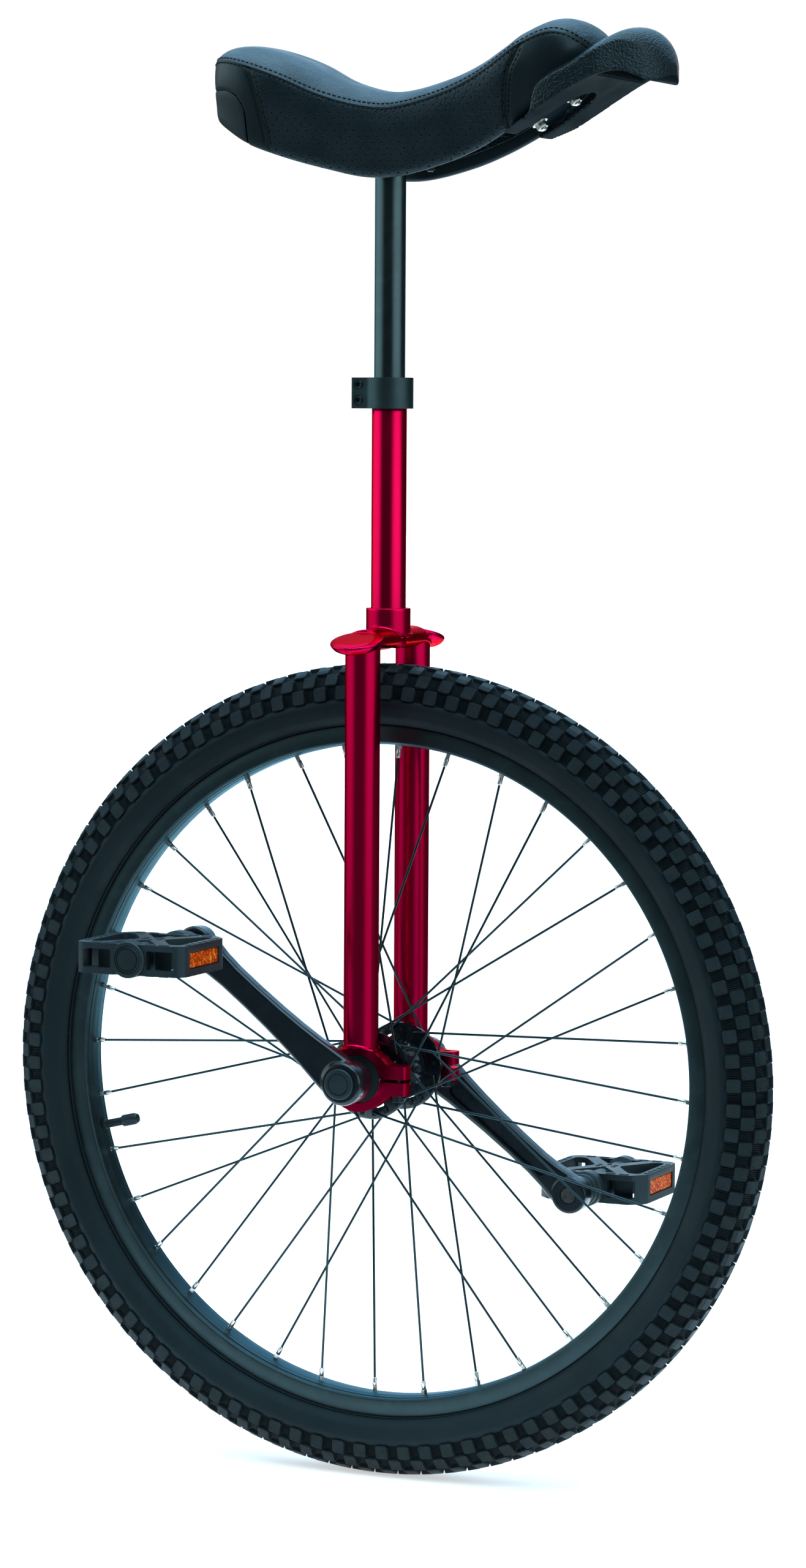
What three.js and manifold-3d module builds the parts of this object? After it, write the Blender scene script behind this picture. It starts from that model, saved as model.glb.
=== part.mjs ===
// A 26-inch unicycle as an assembly of separate solids.
// Millimetres, +X forwards, +Y to the rider's left, +Z up, origin where the tyre meets the ground.
import * as THREE from "three";
import { mergeVertices } from "three/addons/utils/BufferGeometryUtils.js";
import Module from "manifold-3d";

const wasm = await Module();
wasm.setup();

// ---------------------------------------------------------------- driving dimensions
const GAP = 0.3; // clearance between touching pieces

const TYRE_RADIUS = 336;
const TYRE_HALF_WIDTH = 28.5;
const RIM_RADIUS = 286;
const RIM_HALF_WIDTH = 15;
const RIM_BED_RADIUS = 269.5; // inner face of the rim, where the nipples come out
const RING_SIDES = 40;
const VALVE_ANGLE = 193.5; // degrees from +X towards +Z, about the axle

const SPOKE_RADIUS = 1;
const SPOKES_PER_SIDE = 18;
const SPOKE_SWEEP = 60; // degrees between a spoke's two ends, laced three-cross
const FIRST_NIPPLE_ANGLE = { right: 198, left: 188 };
const NIPPLE_LENGTH = 11;

const FLANGE_RADIUS = 36.5;
const FLANGE_MIDDLE = 31; // flange centre plane from the wheel's middle
const FLANGE_THICKNESS = 3;
const SPOKE_CIRCLE_RADIUS = 31;

const AXLE_RADIUS = 8.4;
const AXLE_SQUARE = 12.6;
const AXLE_HALF_LENGTH = 84;
const BEARING_MIDDLE = 50;
const BEARING_WIDTH = 12;
const BEARING_RADIUS = 19.7;

const CRANK_LENGTH = 170;
const CRANK_ANGLE = { right: 141.5, left: -38.5 }; // degrees from +X towards +Z
const CRANK_OUTER_FACE = 88; // arm's outer face from the wheel's middle
const CRANK_THICKNESS = 14;
const CRANK_BOSS = { radius: 18, inner: 64, outer: 91 };
const CRANK_EYE_RADIUS = 15.5;

const PEDAL = { inner: 120, outer: 205, halfLength: 48, halfHeight: 13, wall: 7 };
const PEDAL_BOSS_RADIUS = 14;
const REFLECTOR = { inner: 139, outer: 191, halfHeight: 6.3, depth: 4.2 };

const LEG_RADIUS = 14.3;
const LEG_WALL = 1.8;
const LEG_MIDDLE = 50;
const HOLDER = { radius: 27, bore: 20.05, halfWidth: 7.5, earEnd: 43, earHeight: 12, slot: 1.4 };
const PINCH_BOLT_X = 33;

const CROWN_HEIGHT = 692;
const CROWN_PAD = { radius: 21.5, halfThickness: 4.5, y: 61, z: 690, tilt: 12.5 };
const CROWN_BRIDGE = { halfWidth: 15, halfHeight: 9, halfLength: 46 };
const SLEEVE = { radius: 18.3, top: 717 };
const NECK = { radius: 14.3, bore: 13, bottom: 690.4, top: 902 };

const CLAMP = { radius: 19.5, bottom: 879.3, top: 904.5, blockEnd: 29.5, blockHalf: 10, boltX: 23.5 };
const CLAMP_BOLT_HEIGHTS = { lower: 886, upper: 898.7 };

const POST = { radius: 12.7, wall: 1.8, bottom: 775 };
const PLATE_BOLT = { x: 27, y: 19 };

// Cross sections of the saddle from rear to front: x, height of the crown, half width at the top
// seams, height of the lower edge, half width at the lower edge.
const SADDLE_SECTIONS = [
  [-141, 1158, 30, 1118, 28],
  [-134, 1170, 50, 1112, 46],
  [-120, 1174, 64, 1103, 56],
  [-100, 1172, 71, 1092, 61],
  [-70, 1162, 68, 1081, 55],
  [-40, 1147, 57, 1072.5, 45],
  [-8, 1137.5, 48, 1065.5, 38],
  [20, 1135, 46, 1065.5, 37],
  [60, 1144, 46, 1074.5, 37],
  [90, 1156, 48, 1085.5, 37],
  [116, 1171, 53, 1099, 40],
  [130, 1180, 54, 1109, 44],
  [158, 1189, 53, 1128, 49],
  [176, 1181, 44, 1141, 42],
  [190, 1162, 24, 1150, 22],
];
// Cross sections of the front handle: x, height of the crown, half width, height of the lower edge.
const HANDLE_SECTIONS = [
  [119, 1100, 50, 1096.5],
  [136, 1108, 60, 1105],
  [146, 1120, 61.5, 1111],
  [149.5, 1139, 62.5, 1113.5],
  [160, 1149, 63, 1120],
  [178, 1158, 61.5, 1130.5],
  [199, 1172, 57, 1140],
  [214, 1180, 48, 1142.5],
  [226, 1179, 38, 1139],
  [235, 1170, 28, 1138],
  [241, 1154, 14, 1138],
];
const CROWN_SHARE = 0.2; // how far the sides lie below the crown, as a share of the depth there

// ---------------------------------------------------------------- solid helpers
/** Closed solid of a closed geometry, facing out whichever way the geometry was wound. */
function solidOf(geometry) {
  const bare = new THREE.BufferGeometry();
  bare.setAttribute("position", geometry.getAttribute("position"));
  bare.setIndex(geometry.getIndex());
  const merged = mergeVertices(bare, 1e-4);
  const position = merged.getAttribute("position").array;
  const index = merged.getIndex().array;
  const triangles = [];
  let volume = 0;
  const corner = [new THREE.Vector3(), new THREE.Vector3(), new THREE.Vector3()];
  for (let i = 0; i < index.length; i += 3) {
    const [a, b, c] = [index[i], index[i + 1], index[i + 2]];
    if (a === b || b === c || c === a) continue;
    [a, b, c].forEach((vertex, k) => corner[k].fromArray(position, vertex * 3));
    volume += corner[0].dot(corner[1].clone().cross(corner[2]));
    triangles.push(a, b, c);
  }
  if (volume < 0) triangles.reverse();
  const mesh = new wasm.Mesh({
    numProp: 3,
    vertProperties: new Float32Array(position),
    triVerts: new Uint32Array(triangles),
  });
  return new wasm.Manifold(mesh);
}

/** three.js geometry of a solid. */
function geometryOf(solid) {
  const mesh = solid.getMesh();
  const geometry = new THREE.BufferGeometry();
  geometry.setAttribute("position", new THREE.BufferAttribute(mesh.vertProperties, 3));
  geometry.setIndex(new THREE.BufferAttribute(mesh.triVerts, 1));
  geometry.computeVertexNormals();
  return geometry;
}

const join = (first, ...others) => others.reduce((whole, piece) => whole.add(piece), first);
const cut = (first, ...others) => others.reduce((whole, piece) => whole.subtract(piece), first);

const radians = THREE.MathUtils.degToRad;

/** Profile of [radius, height] points turned about an axis: "y" sideways or "z" upright. */
function turned(profile, sides, axis = "y") {
  const onAxis = profile[0][0] === 0;
  const outline = onAxis ? profile : [...profile, profile[0]];
  const points = outline.map(([radius, height]) => new THREE.Vector2(radius, height));
  const geometry = new THREE.LatheGeometry(points, sides);
  if (axis === "z") geometry.rotateX(Math.PI / 2);
  return geometry;
}

/** Rod from one height to another along an axis: "x", "y" or "z". */
function rod(radius, from, to, sides, axis = "y") {
  const geometry = new THREE.CylinderGeometry(radius, radius, to - from, sides);
  geometry.translate(0, (from + to) / 2, 0);
  if (axis === "z") geometry.rotateX(Math.PI / 2);
  if (axis === "x") geometry.rotateZ(-Math.PI / 2);
  return geometry;
}

const tube = (radius, bore, from, to, sides, axis) =>
  turned([[bore, from], [radius, from], [radius, to], [bore, to]], sides, axis);

/** Box given by its lowest and highest corners. */
function box([x0, y0, z0], [x1, y1, z1]) {
  const geometry = new THREE.BoxGeometry(x1 - x0, y1 - y0, z1 - z0);
  return geometry.translate((x0 + x1) / 2, (y0 + y1) / 2, (z0 + z1) / 2);
}

/** Prism of a side view ([x, z] outline) from y = -half to y = half. */
function sidePrism(outline, half) {
  const shape = new THREE.Shape(outline.map(([x, z]) => new THREE.Vector2(x, z)));
  const geometry = new THREE.ExtrudeGeometry(shape, { depth: 2 * half, bevelEnabled: false });
  return geometry.rotateX(Math.PI / 2).translate(0, half, 0);
}

/** Prism of a top view ([x, y] outline) between two heights. */
function plateau(outline, bottom, top) {
  const shape = new THREE.Shape(outline.map(([x, y]) => new THREE.Vector2(x, y)));
  const geometry = new THREE.ExtrudeGeometry(shape, { depth: top - bottom, bevelEnabled: false });
  return geometry.translate(0, 0, bottom);
}

/**
 * Block whose grid points are put in place by a formula: place(u, v, w) gives [x, y, z] for u and
 * w from 0 to 1 along and up the block, and v from -1 to 1 across it.
 */
function shapedBlock(along, across, up, place) {
  const geometry = new THREE.BoxGeometry(1, 2, 1, along, across, up).translate(0.5, 0, 0.5);
  const position = geometry.getAttribute("position");
  for (let i = 0; i < position.count; i += 1) {
    position.setXYZ(i, ...place(position.getX(i), position.getY(i), position.getZ(i)));
  }
  return solidOf(geometry);
}

/** Path through points that a sweep's steps land on exactly. */
class PointPath extends THREE.Curve {
  constructor(points) {
    super();
    this.points = points;
  }

  getPoint(t) {
    const place = t * (this.points.length - 1);
    const index = Math.min(Math.floor(place), this.points.length - 2);
    return this.points[index].clone().lerp(this.points[index + 1], place - index);
  }

  getUtoTmapping(u) {
    return u;
  }
}

/** Wire with a regular section, swept through points. */
function wire(points, radius, sides) {
  const section = new THREE.Shape(Array.from({ length: sides }, (_, i) => {
    const angle = (2 * Math.PI * i) / sides;
    return new THREE.Vector2(radius * Math.cos(angle), radius * Math.sin(angle));
  }));
  const settings = { extrudePath: new PointPath(points), steps: points.length - 1 };
  return solidOf(new THREE.ExtrudeGeometry(section, settings));
}

/** Value at x of a line of [x, value] points in rising x, by straight interpolation. */
function valueAt(line, x) {
  const next = line.findIndex((point) => point[0] >= x);
  if (next <= 0) return line.at(next)[1];
  const [x0, value0] = line[next - 1];
  const [x1, value1] = line[next];
  return value0 + ((value1 - value0) * (x - x0)) / (x1 - x0);
}

// ---------------------------------------------------------------- finishes
const finish = (color, roughness, metalness) => ({ color, roughness, metalness });
const FINISH = {
  redPaint: finish(0x9c0526, 0.22, 0.6),
  blackPaint: finish(0x0b0c0e, 0.3, 0.3),
  blackAnodised: finish(0x141517, 0.5, 0.6),
  castBlack: finish(0x0f1114, 0.25, 0.5),
  rubber: finish(0x17191a, 0.85, 0),
  butyl: finish(0x1a1a1a, 0.7, 0),
  plastic: finish(0x1b1d1f, 0.6, 0),
  vinyl: finish(0x151719, 0.55, 0),
  foam: finish(0x55544e, 0.95, 0),
  steel: finish(0xb4b6b8, 0.35, 1),
  zinc: finish(0xc9cccf, 0.3, 1),
  amber: finish(0xe2500a, 0.2, 0),
};

const unicycle = new THREE.Group();

function addPart(group, name, solid, look) {
  const mesh = new THREE.Mesh(geometryOf(solid), new THREE.MeshStandardMaterial(look));
  mesh.name = name;
  group.add(mesh);
  return mesh;
}

const SIDES = { left: 1, right: -1 };

// ---------------------------------------------------------------- wheel: tyre, tube and rim
const wheel = new THREE.Group();
wheel.position.z = TYRE_RADIUS;
unicycle.add(wheel);

/** Points of an ellipse about (middle, 0), [radius, y], from one angle to another in degrees. */
function sectionArc(middle, radial, axial, from, to, steps) {
  return Array.from({ length: steps + 1 }, (_, i) => {
    const angle = radians(from + ((to - from) * i) / steps);
    return [middle + radial * Math.cos(angle), axial * Math.sin(angle)];
  });
}

const atValve = (geometry) => geometry.rotateY(-radians(VALVE_ANGLE));

function makeTyre() {
  const shoulder = 138;
  const bead = { outerY: 12.2, innerY: 9.2, foot: 280.2, neck: 286.9, inside: 289 };
  const profile = [
    ...sectionArc(308, TYRE_RADIUS - 308, TYRE_HALF_WIDTH, -shoulder, shoulder, 6),
    [bead.neck, bead.outerY],
    [bead.foot, bead.outerY],
    [bead.foot, bead.innerY],
    [bead.inside, bead.innerY],
    ...sectionArc(306, 22.5, 25.5, shoulder, -shoulder, 4),
    [bead.inside, -bead.innerY],
    [bead.foot, -bead.innerY],
    [bead.foot, -bead.outerY],
    [bead.neck, -bead.outerY],
  ];
  return solidOf(turned(profile, RING_SIDES));
}

function makeRim() {
  const half = [
    [RIM_RADIUS, RIM_HALF_WIDTH], [RIM_RADIUS, 12.5], [279.9, 12.5], [279.9, 8.8], [275, 6.5],
  ];
  const bed = [[272, -RIM_HALF_WIDTH], [RIM_BED_RADIUS, -10], [RIM_BED_RADIUS, 10], [272, RIM_HALF_WIDTH]];
  const mirrored = half.map(([radius, y]) => [radius, -y]).reverse();
  const ring = solidOf(turned([...half, ...mirrored, ...bed], RING_SIDES));
  return cut(ring, solidOf(atValve(rod(4.2, 260, 290, 8, "x"))));
}

function makeRimTape() {
  const ring = solidOf(tube(276.5, 275 + GAP, -6, 6, RING_SIDES));
  return cut(ring, solidOf(atValve(rod(4.2, 260, 290, 8, "x"))));
}

function makeInnerTube() {
  const section = (radial, axial) => sectionArc(307, radial, axial, 0, 360 - 360 / 8, 7);
  const stemEnd = 239;
  const outside = join(
    solidOf(turned(section(17, 17.5), 24)),
    solidOf(atValve(rod(3.4, stemEnd, 291, 8, "x"))),
  );
  const bore = solidOf(atValve(rod(1.5, stemEnd - 1, 295, 6, "x")));
  return cut(outside, solidOf(turned(section(15.6, 16.1), 24)), bore);
}

function makeValveCap() {
  const cup = [[0, 235], [4, 235], [5, 236.5], [5, 249.5], [3.9, 249.5], [3.9, 238], [0, 238]];
  const geometry = turned(cup, 10).rotateZ(-Math.PI / 2);
  return solidOf(atValve(geometry));
}

addPart(wheel, "tyre", makeTyre(), FINISH.rubber);
addPart(wheel, "inner_tube", makeInnerTube(), FINISH.butyl);
addPart(wheel, "valve_cap", makeValveCap(), FINISH.plastic);
addPart(wheel, "rim", makeRim(), FINISH.blackAnodised);
addPart(wheel, "rim_tape", makeRimTape(), FINISH.butyl);

// ---------------------------------------------------------------- wheel: spokes
/** Point at an angle (degrees from +X towards +Z) and radius about the axle. */
function wheelPoint(angle, radius, y) {
  return new THREE.Vector3(radius * Math.cos(radians(angle)), y, radius * Math.sin(radians(angle)));
}

/**
 * One flange's 18 spokes with their nipples. Leading spokes leave the flange's outer face and
 * trailing ones its inner face; each touches two of the others where they cross, so the laced
 * set is one solid.
 */
function makeSpokeSet(side, firstNipple) {
  const rimPoint = { radius: 264, y: 2.5 };
  const faceGap = FLANGE_THICKNESS / 2 + SPOKE_RADIUS + GAP;
  // Seen side on, a spoke meets its second neighbour half a sweep on from its hub end.
  const hubDrop = SPOKE_CIRCLE_RADIUS * Math.sin(radians(SPOKE_SWEEP / 2));
  const rimRise = rimPoint.radius * Math.sin(radians(SPOKE_SWEEP / 2));
  const secondCrossing = hubDrop / (hubDrop + rimRise);
  const pieces = [];
  for (let k = 0; k < SPOKES_PER_SIDE; k += 1) {
    const nippleAngle = firstNipple + (k * 360) / SPOKES_PER_SIDE;
    const leading = k % 2 === (side === SIDES.right ? 1 : 0);
    const sweep = leading ? SPOKE_SWEEP : -SPOKE_SWEEP;
    const hubAngle = nippleAngle - sweep;
    const hubY = side * (FLANGE_MIDDLE + (leading ? faceGap : -faceGap));
    const hubEnd = wheelPoint(hubAngle, SPOKE_CIRCLE_RADIUS, hubY);
    const rimEnd = wheelPoint(nippleAngle, rimPoint.radius, side * rimPoint.y);
    const flat = hubEnd.clone().lerp(rimEnd, 0.065).setY(hubY);
    const crossingY = side * (FLANGE_MIDDLE + (leading ? 0.35 : -0.35));
    const crossing = hubEnd.clone().lerp(rimEnd, secondCrossing).setY(crossingY);
    const nippleStart = crossing.clone().lerp(rimEnd, 0.97);
    const along = rimEnd.clone().sub(crossing);
    const nippleEnd = nippleStart.clone().add(along.clone().setLength(NIPPLE_LENGTH));
    const wireEnd = nippleStart.clone().add(along.setLength(1));
    pieces.push(wire([hubEnd, flat, crossing, wireEnd], SPOKE_RADIUS * 1.2, 4));
    pieces.push(wire([nippleStart, nippleEnd], 2.1, 6));
  }
  return join(...pieces);
}

addPart(wheel, "spokes_left", makeSpokeSet(SIDES.left, FIRST_NIPPLE_ANGLE.left), FINISH.blackPaint);
addPart(wheel, "spokes_right", makeSpokeSet(SIDES.right, FIRST_NIPPLE_ANGLE.right), FINISH.blackPaint);

// ---------------------------------------------------------------- wheel: hub, axle and bearings
function makeHubShell() {
  const bore = AXLE_RADIUS + GAP;
  const outerFace = FLANGE_MIDDLE + FLANGE_THICKNESS / 2;
  const innerFace = FLANGE_MIDDLE - FLANGE_THICKNESS / 2;
  const half = [
    [14.5, 14], [18, 24], [20, innerFace], [FLANGE_RADIUS, innerFace], [FLANGE_RADIUS, outerFace],
    [14, outerFace], [11.5, 42], [bore, 42],
  ];
  const mirrored = half.map(([radius, y]) => [radius, -y]).reverse();
  return solidOf(turned([...mirrored, ...half], 24));
}

function makeAxle() {
  const halfSquare = AXLE_SQUARE / 2;
  const round = solidOf(rod(AXLE_RADIUS, -58, 58, 24));
  const squares = Object.values(SIDES).map((side) => {
    const [from, to] = [side * 57, side * AXLE_HALF_LENGTH].sort((a, b) => a - b);
    const square = box([-halfSquare, from, -halfSquare], [halfSquare, to, halfSquare]);
    return solidOf(square.rotateY(-radians(CRANK_ANGLE.left)));
  });
  const threads = Object.values(SIDES).map((side) => {
    const ends = [side * (AXLE_HALF_LENGTH - 26), side * (AXLE_HALF_LENGTH + 1)].sort((a, b) => a - b);
    return solidOf(rod(4.3, ...ends, 8));
  });
  return cut(join(round, ...squares), ...threads);
}

const bearingSpan = (side) => {
  const ends = [side * (BEARING_MIDDLE - BEARING_WIDTH / 2), side * (BEARING_MIDDLE + BEARING_WIDTH / 2)];
  return ends.sort((a, b) => a - b);
};

function makeBearingBalls(side) {
  const ballRadius = 1.95;
  const pitchRadius = 14.25;
  const balls = Array.from({ length: 9 }, (_, i) => {
    const place = wheelPoint(i * 40, pitchRadius, side * BEARING_MIDDLE);
    return solidOf(new THREE.IcosahedronGeometry(ballRadius).translate(place.x, place.y, place.z));
  });
  const middle = side * BEARING_MIDDLE;
  return join(solidOf(tube(14.9, 13.6, middle - 1, middle + 1, 18)), ...balls);
}

addPart(wheel, "hub_shell", makeHubShell(), FINISH.blackPaint);
addPart(wheel, "axle", makeAxle(), FINISH.steel);
for (const [name, side] of Object.entries(SIDES)) {
  const inner = solidOf(tube(12, AXLE_RADIUS + GAP, ...bearingSpan(side), 24));
  addPart(wheel, `bearing_inner_${name}`, inner, FINISH.steel);
  addPart(wheel, `bearing_balls_${name}`, makeBearingBalls(side), FINISH.steel);
}

// ---------------------------------------------------------------- wheel: cranks
/** Crank along +X from the axle, outer side towards +Y. */
function makeCrank() {
  const outline = new THREE.Shape();
  const startAngle = radians(38);
  outline.absarc(0, 0, CRANK_BOSS.radius, startAngle, 2 * Math.PI - startAngle, false);
  outline.lineTo(34, -13.5);
  outline.lineTo(146, -11.5);
  outline.absarc(CRANK_LENGTH, 0, CRANK_EYE_RADIUS, radians(-140), radians(140), false);
  outline.lineTo(146, 11.5);
  outline.lineTo(34, 13.5);
  const settings = { depth: CRANK_THICKNESS, bevelEnabled: false, curveSegments: 12 };
  const arm = new THREE.ExtrudeGeometry(outline, settings);
  arm.rotateX(Math.PI / 2).translate(0, CRANK_OUTER_FACE, 0);
  const halfSquare = AXLE_SQUARE / 2 + GAP;
  return cut(
    join(solidOf(arm), solidOf(rod(CRANK_BOSS.radius, CRANK_BOSS.inner, CRANK_BOSS.outer, 24))),
    solidOf(box([-halfSquare, 60, -halfSquare], [halfSquare, 86, halfSquare])),
    solidOf(rod(11, AXLE_HALF_LENGTH + GAP, 95, 16)),
    solidOf(rod(7.3, 60, 95, 12).translate(CRANK_LENGTH, 0, 0)),
  );
}

function makeCrankBolt() {
  const profile = [[0, 62], [3.9, 62], [3.9, 84.6], [7.5, 84.6], [7.5, 89.6], [0, 89.6]];
  return solidOf(turned(profile, 8));
}

function makeDustCap() {
  const lip = CRANK_BOSS.outer + GAP;
  const profile = [[0, 90.2], [10.2, 90.2], [10.2, lip], [12.5, lip], [12.5, 93.4], [10.8, 94.4], [0, 94.4]];
  return solidOf(turned(profile, 14));
}

function makePedalSpindle() {
  const profile = [
    [0, 73.5], [6.9, 73.5], [6.9, 88.4], [8.5, 88.4], [8.5, 94], [6, 95.5], [4.5, 190], [0, 190],
  ];
  return solidOf(turned(profile, 12));
}

// ---------------------------------------------------------------- pedals
/** Pedal about its own spindle line, outer end towards +Y, tread faces up and down. */
function makePedalBody() {
  const { inner, outer, halfLength, halfHeight, wall } = PEDAL;
  const corner = 9;
  const outline = [
    [-halfLength, inner + corner], [-halfLength + corner, inner], [halfLength - corner, inner],
    [halfLength, inner + corner], [halfLength, outer - corner / 2], [halfLength - corner / 2, outer],
    [-halfLength + corner / 2, outer], [-halfLength, outer - corner / 2],
  ];
  const opening = box(
    [-halfLength + wall + 3, inner + wall, -halfHeight - 1],
    [halfLength - wall - 3, outer - wall, halfHeight + 1],
  );
  const web = box([-halfLength + 5, 155, -10], [halfLength - 5, 168, 10]);
  const windows = [-1, 1].map((end) => {
    const xs = [end * 19, end * (halfLength - 11)].sort((a, b) => a - b);
    return solidOf(box([xs[0], inner - 1, -8], [xs[1], outer + 1, 8]));
  });
  const recesses = [-1, 1].map((end) => {
    const xs = [end * (halfLength - REFLECTOR.depth - GAP), end * (halfLength + 1)].sort((a, b) => a - b);
    const height = REFLECTOR.halfHeight + GAP;
    return solidOf(box([xs[0], REFLECTOR.inner, -height], [xs[1], REFLECTOR.outer, height]));
  });
  const frame = cut(solidOf(plateau(outline, -halfHeight, halfHeight)), solidOf(opening), ...windows);
  const barrel = join(solidOf(rod(PEDAL_BOSS_RADIUS, 97, 124, 20)), solidOf(rod(11.5, 120, 200, 20)));
  const cup = solidOf(rod(PEDAL_BOSS_RADIUS, 194, 207, 20));
  return cut(
    join(frame, solidOf(web), barrel, cup),
    solidOf(rod(9, 90, 196, 16)),
    solidOf(rod(11, 195, 210, 16)),
    ...recesses,
  );
}

function makeReflector(end) {
  const { inner, outer, halfHeight, depth } = REFLECTOR;
  const xs = [end * (PEDAL.halfLength - depth), end * (PEDAL.halfLength - 0.4)].sort((a, b) => a - b);
  return solidOf(box([xs[0], inner + GAP, -halfHeight], [xs[1], outer - GAP, halfHeight]));
}

const makeEndCap = () =>
  solidOf(turned([[0, 196.4], [10.6, 196.4], [10.6, 207.2], [8.5, 208], [0, 208]], 16));

for (const [name, side] of Object.entries(SIDES)) {
  // Everything outboard is drawn with its outer end towards +Y and mirrored for the right side.
  const mirrored = (solid) => solid.scale([1, side, 1]);
  const crank = new THREE.Group();
  crank.rotation.y = -radians(CRANK_ANGLE[name]);
  wheel.add(crank);
  addPart(crank, `crank_${name}`, mirrored(makeCrank()), FINISH.castBlack);
  addPart(crank, `crank_bolt_${name}`, mirrored(makeCrankBolt()), FINISH.steel);
  addPart(crank, `dust_cap_${name}`, mirrored(makeDustCap()), FINISH.plastic);
  addPart(crank, `pedal_spindle_${name}`, mirrored(makePedalSpindle()), FINISH.steel)
    .position.x = CRANK_LENGTH;

  const pedal = new THREE.Group();
  pedal.position.copy(wheelPoint(CRANK_ANGLE[name], CRANK_LENGTH, 0));
  wheel.add(pedal);
  addPart(pedal, `pedal_body_${name}`, mirrored(makePedalBody()), FINISH.plastic);
  addPart(pedal, `pedal_cap_${name}`, mirrored(makeEndCap()), FINISH.plastic);
  addPart(pedal, `reflector_front_${name}`, mirrored(makeReflector(1)), FINISH.amber);
  addPart(pedal, `reflector_rear_${name}`, mirrored(makeReflector(-1)), FINISH.amber);
}

// ---------------------------------------------------------------- frame: bearing holders
/** Split bearing holder about the axle, with two ears reaching forwards. */
function makeHolder() {
  const { radius, bore, halfWidth, earEnd, earHeight, slot } = HOLDER;
  return cut(
    join(
      solidOf(rod(radius, -halfWidth, halfWidth, 24)),
      solidOf(box([12, -halfWidth, -earHeight], [earEnd, halfWidth, earHeight])),
    ),
    solidOf(rod(bore, -20, 20, 24)),
    solidOf(box([10, -20, -slot], [earEnd + 5, 20, slot])),
    solidOf(rod(3.4, -30, 30, 8, "z").translate(PINCH_BOLT_X, 0, 0)),
  );
}

/** Socket screw entered from below, with its tip just inside the upper ear. */
function makePinchBolt() {
  const seat = -HOLDER.earHeight - GAP;
  const profile = [
    [0, seat - 3], [2.6, seat - 3], [2.6, seat - 6], [5, seat - 6],
    [5, seat], [2.9, seat], [2.9, 11], [0, 11],
  ];
  return solidOf(turned(profile, 12, "z"));
}

for (const [name, side] of Object.entries(SIDES)) {
  const end = new THREE.Group();
  end.position.set(0, side * BEARING_MIDDLE, TYRE_RADIUS);
  unicycle.add(end);
  const race = solidOf(tube(BEARING_RADIUS, 16.5, -BEARING_WIDTH / 2, BEARING_WIDTH / 2, 24));
  addPart(end, `bearing_holder_${name}`, makeHolder(), FINISH.redPaint);
  addPart(end, `bearing_outer_${name}`, race, FINISH.steel);
  addPart(end, `pinch_bolt_${name}`, makePinchBolt(), FINISH.blackPaint)
    .position.x = PINCH_BOLT_X;
}

// ---------------------------------------------------------------- frame: crown, legs and neck
/** Rounded pad that caps one leg, tipped outwards. extra grows it all round for clearance. */
function crownPad(side, extra = 0) {
  const radius = CROWN_PAD.radius + extra;
  const half = CROWN_PAD.halfThickness + extra;
  const profile = [
    [0, -half], [radius - 5, -half], [radius - 1.2, -half * 0.6], [radius, 0],
    [radius - 1.2, half * 0.6], [radius - 5, half], [0, half],
  ];
  const geometry = turned(profile, 16, "z");
  geometry.rotateX(-side * radians(CROWN_PAD.tilt));
  return solidOf(geometry.translate(0, side * CROWN_PAD.y, CROWN_PAD.z));
}

/** Oval bar that joins the two pads over the tyre. */
function crownBridge(extra = 0) {
  const { halfWidth, halfHeight, halfLength } = CROWN_BRIDGE;
  const geometry = rod(1, -halfLength - extra, halfLength + extra, 16);
  geometry.scale(halfWidth + extra, 1, halfHeight + extra).translate(0, 0, CROWN_HEIGHT);
  return solidOf(geometry);
}

function makeCrown() {
  const sleeve = solidOf(rod(SLEEVE.radius, CROWN_HEIGHT, SLEEVE.top, 24, "z"));
  const bore = solidOf(rod(NECK.radius + GAP, NECK.bottom - GAP, SLEEVE.top + 5, 24, "z"));
  return cut(join(crownBridge(), crownPad(SIDES.left), crownPad(SIDES.right), sleeve), bore);
}

function makeLeg(side) {
  const blank = tube(LEG_RADIUS, LEG_RADIUS - LEG_WALL, TYRE_RADIUS, CROWN_PAD.z, 24, "z");
  return cut(
    solidOf(blank.translate(0, side * LEG_MIDDLE, 0)),
    solidOf(rod(HOLDER.radius + GAP, -100, 100, 24).translate(0, 0, TYRE_RADIUS)),
    crownPad(side, GAP + 0.1),
    solidOf(box([-40, -100, CROWN_PAD.z - 3.5], [40, 100, CROWN_PAD.z + 5])),
    crownBridge(GAP + 0.1),
  );
}

function makeNeck() {
  const { radius, bore, bottom, top } = NECK;
  const slit = box([-radius - 2, -1.2, 852], [-radius + 4, 1.2, top + 2]);
  return cut(solidOf(tube(radius, bore, bottom, top, 24, "z")), solidOf(slit));
}

addPart(unicycle, "crown", makeCrown(), FINISH.redPaint);
addPart(unicycle, "neck_tube", makeNeck(), FINISH.redPaint);
for (const [name, side] of Object.entries(SIDES)) {
  addPart(unicycle, `leg_${name}`, makeLeg(side), FINISH.redPaint);
}

// ---------------------------------------------------------------- seat clamp
function makeClamp() {
  const { radius, bottom, top, blockEnd, blockHalf, boltX } = CLAMP;
  const screwHoles = Object.values(CLAMP_BOLT_HEIGHTS).flatMap((height) => [
    solidOf(rod(2.5, -20, 20, 8).translate(-boltX, 0, height)),
    solidOf(rod(4, -20, -blockHalf + 4.5, 12).translate(-boltX, 0, height)),
  ]);
  return cut(
    join(
      solidOf(rod(radius, bottom, top, 24, "z")),
      solidOf(box([-blockEnd, -blockHalf, bottom], [0, blockHalf, top])),
    ),
    solidOf(rod(NECK.radius + GAP, bottom - 5, top + 5, 24, "z")),
    solidOf(box([-blockEnd - 1, -1.3, bottom - 1], [-10, 1.3, top + 1])),
    ...screwHoles,
  );
}

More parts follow.
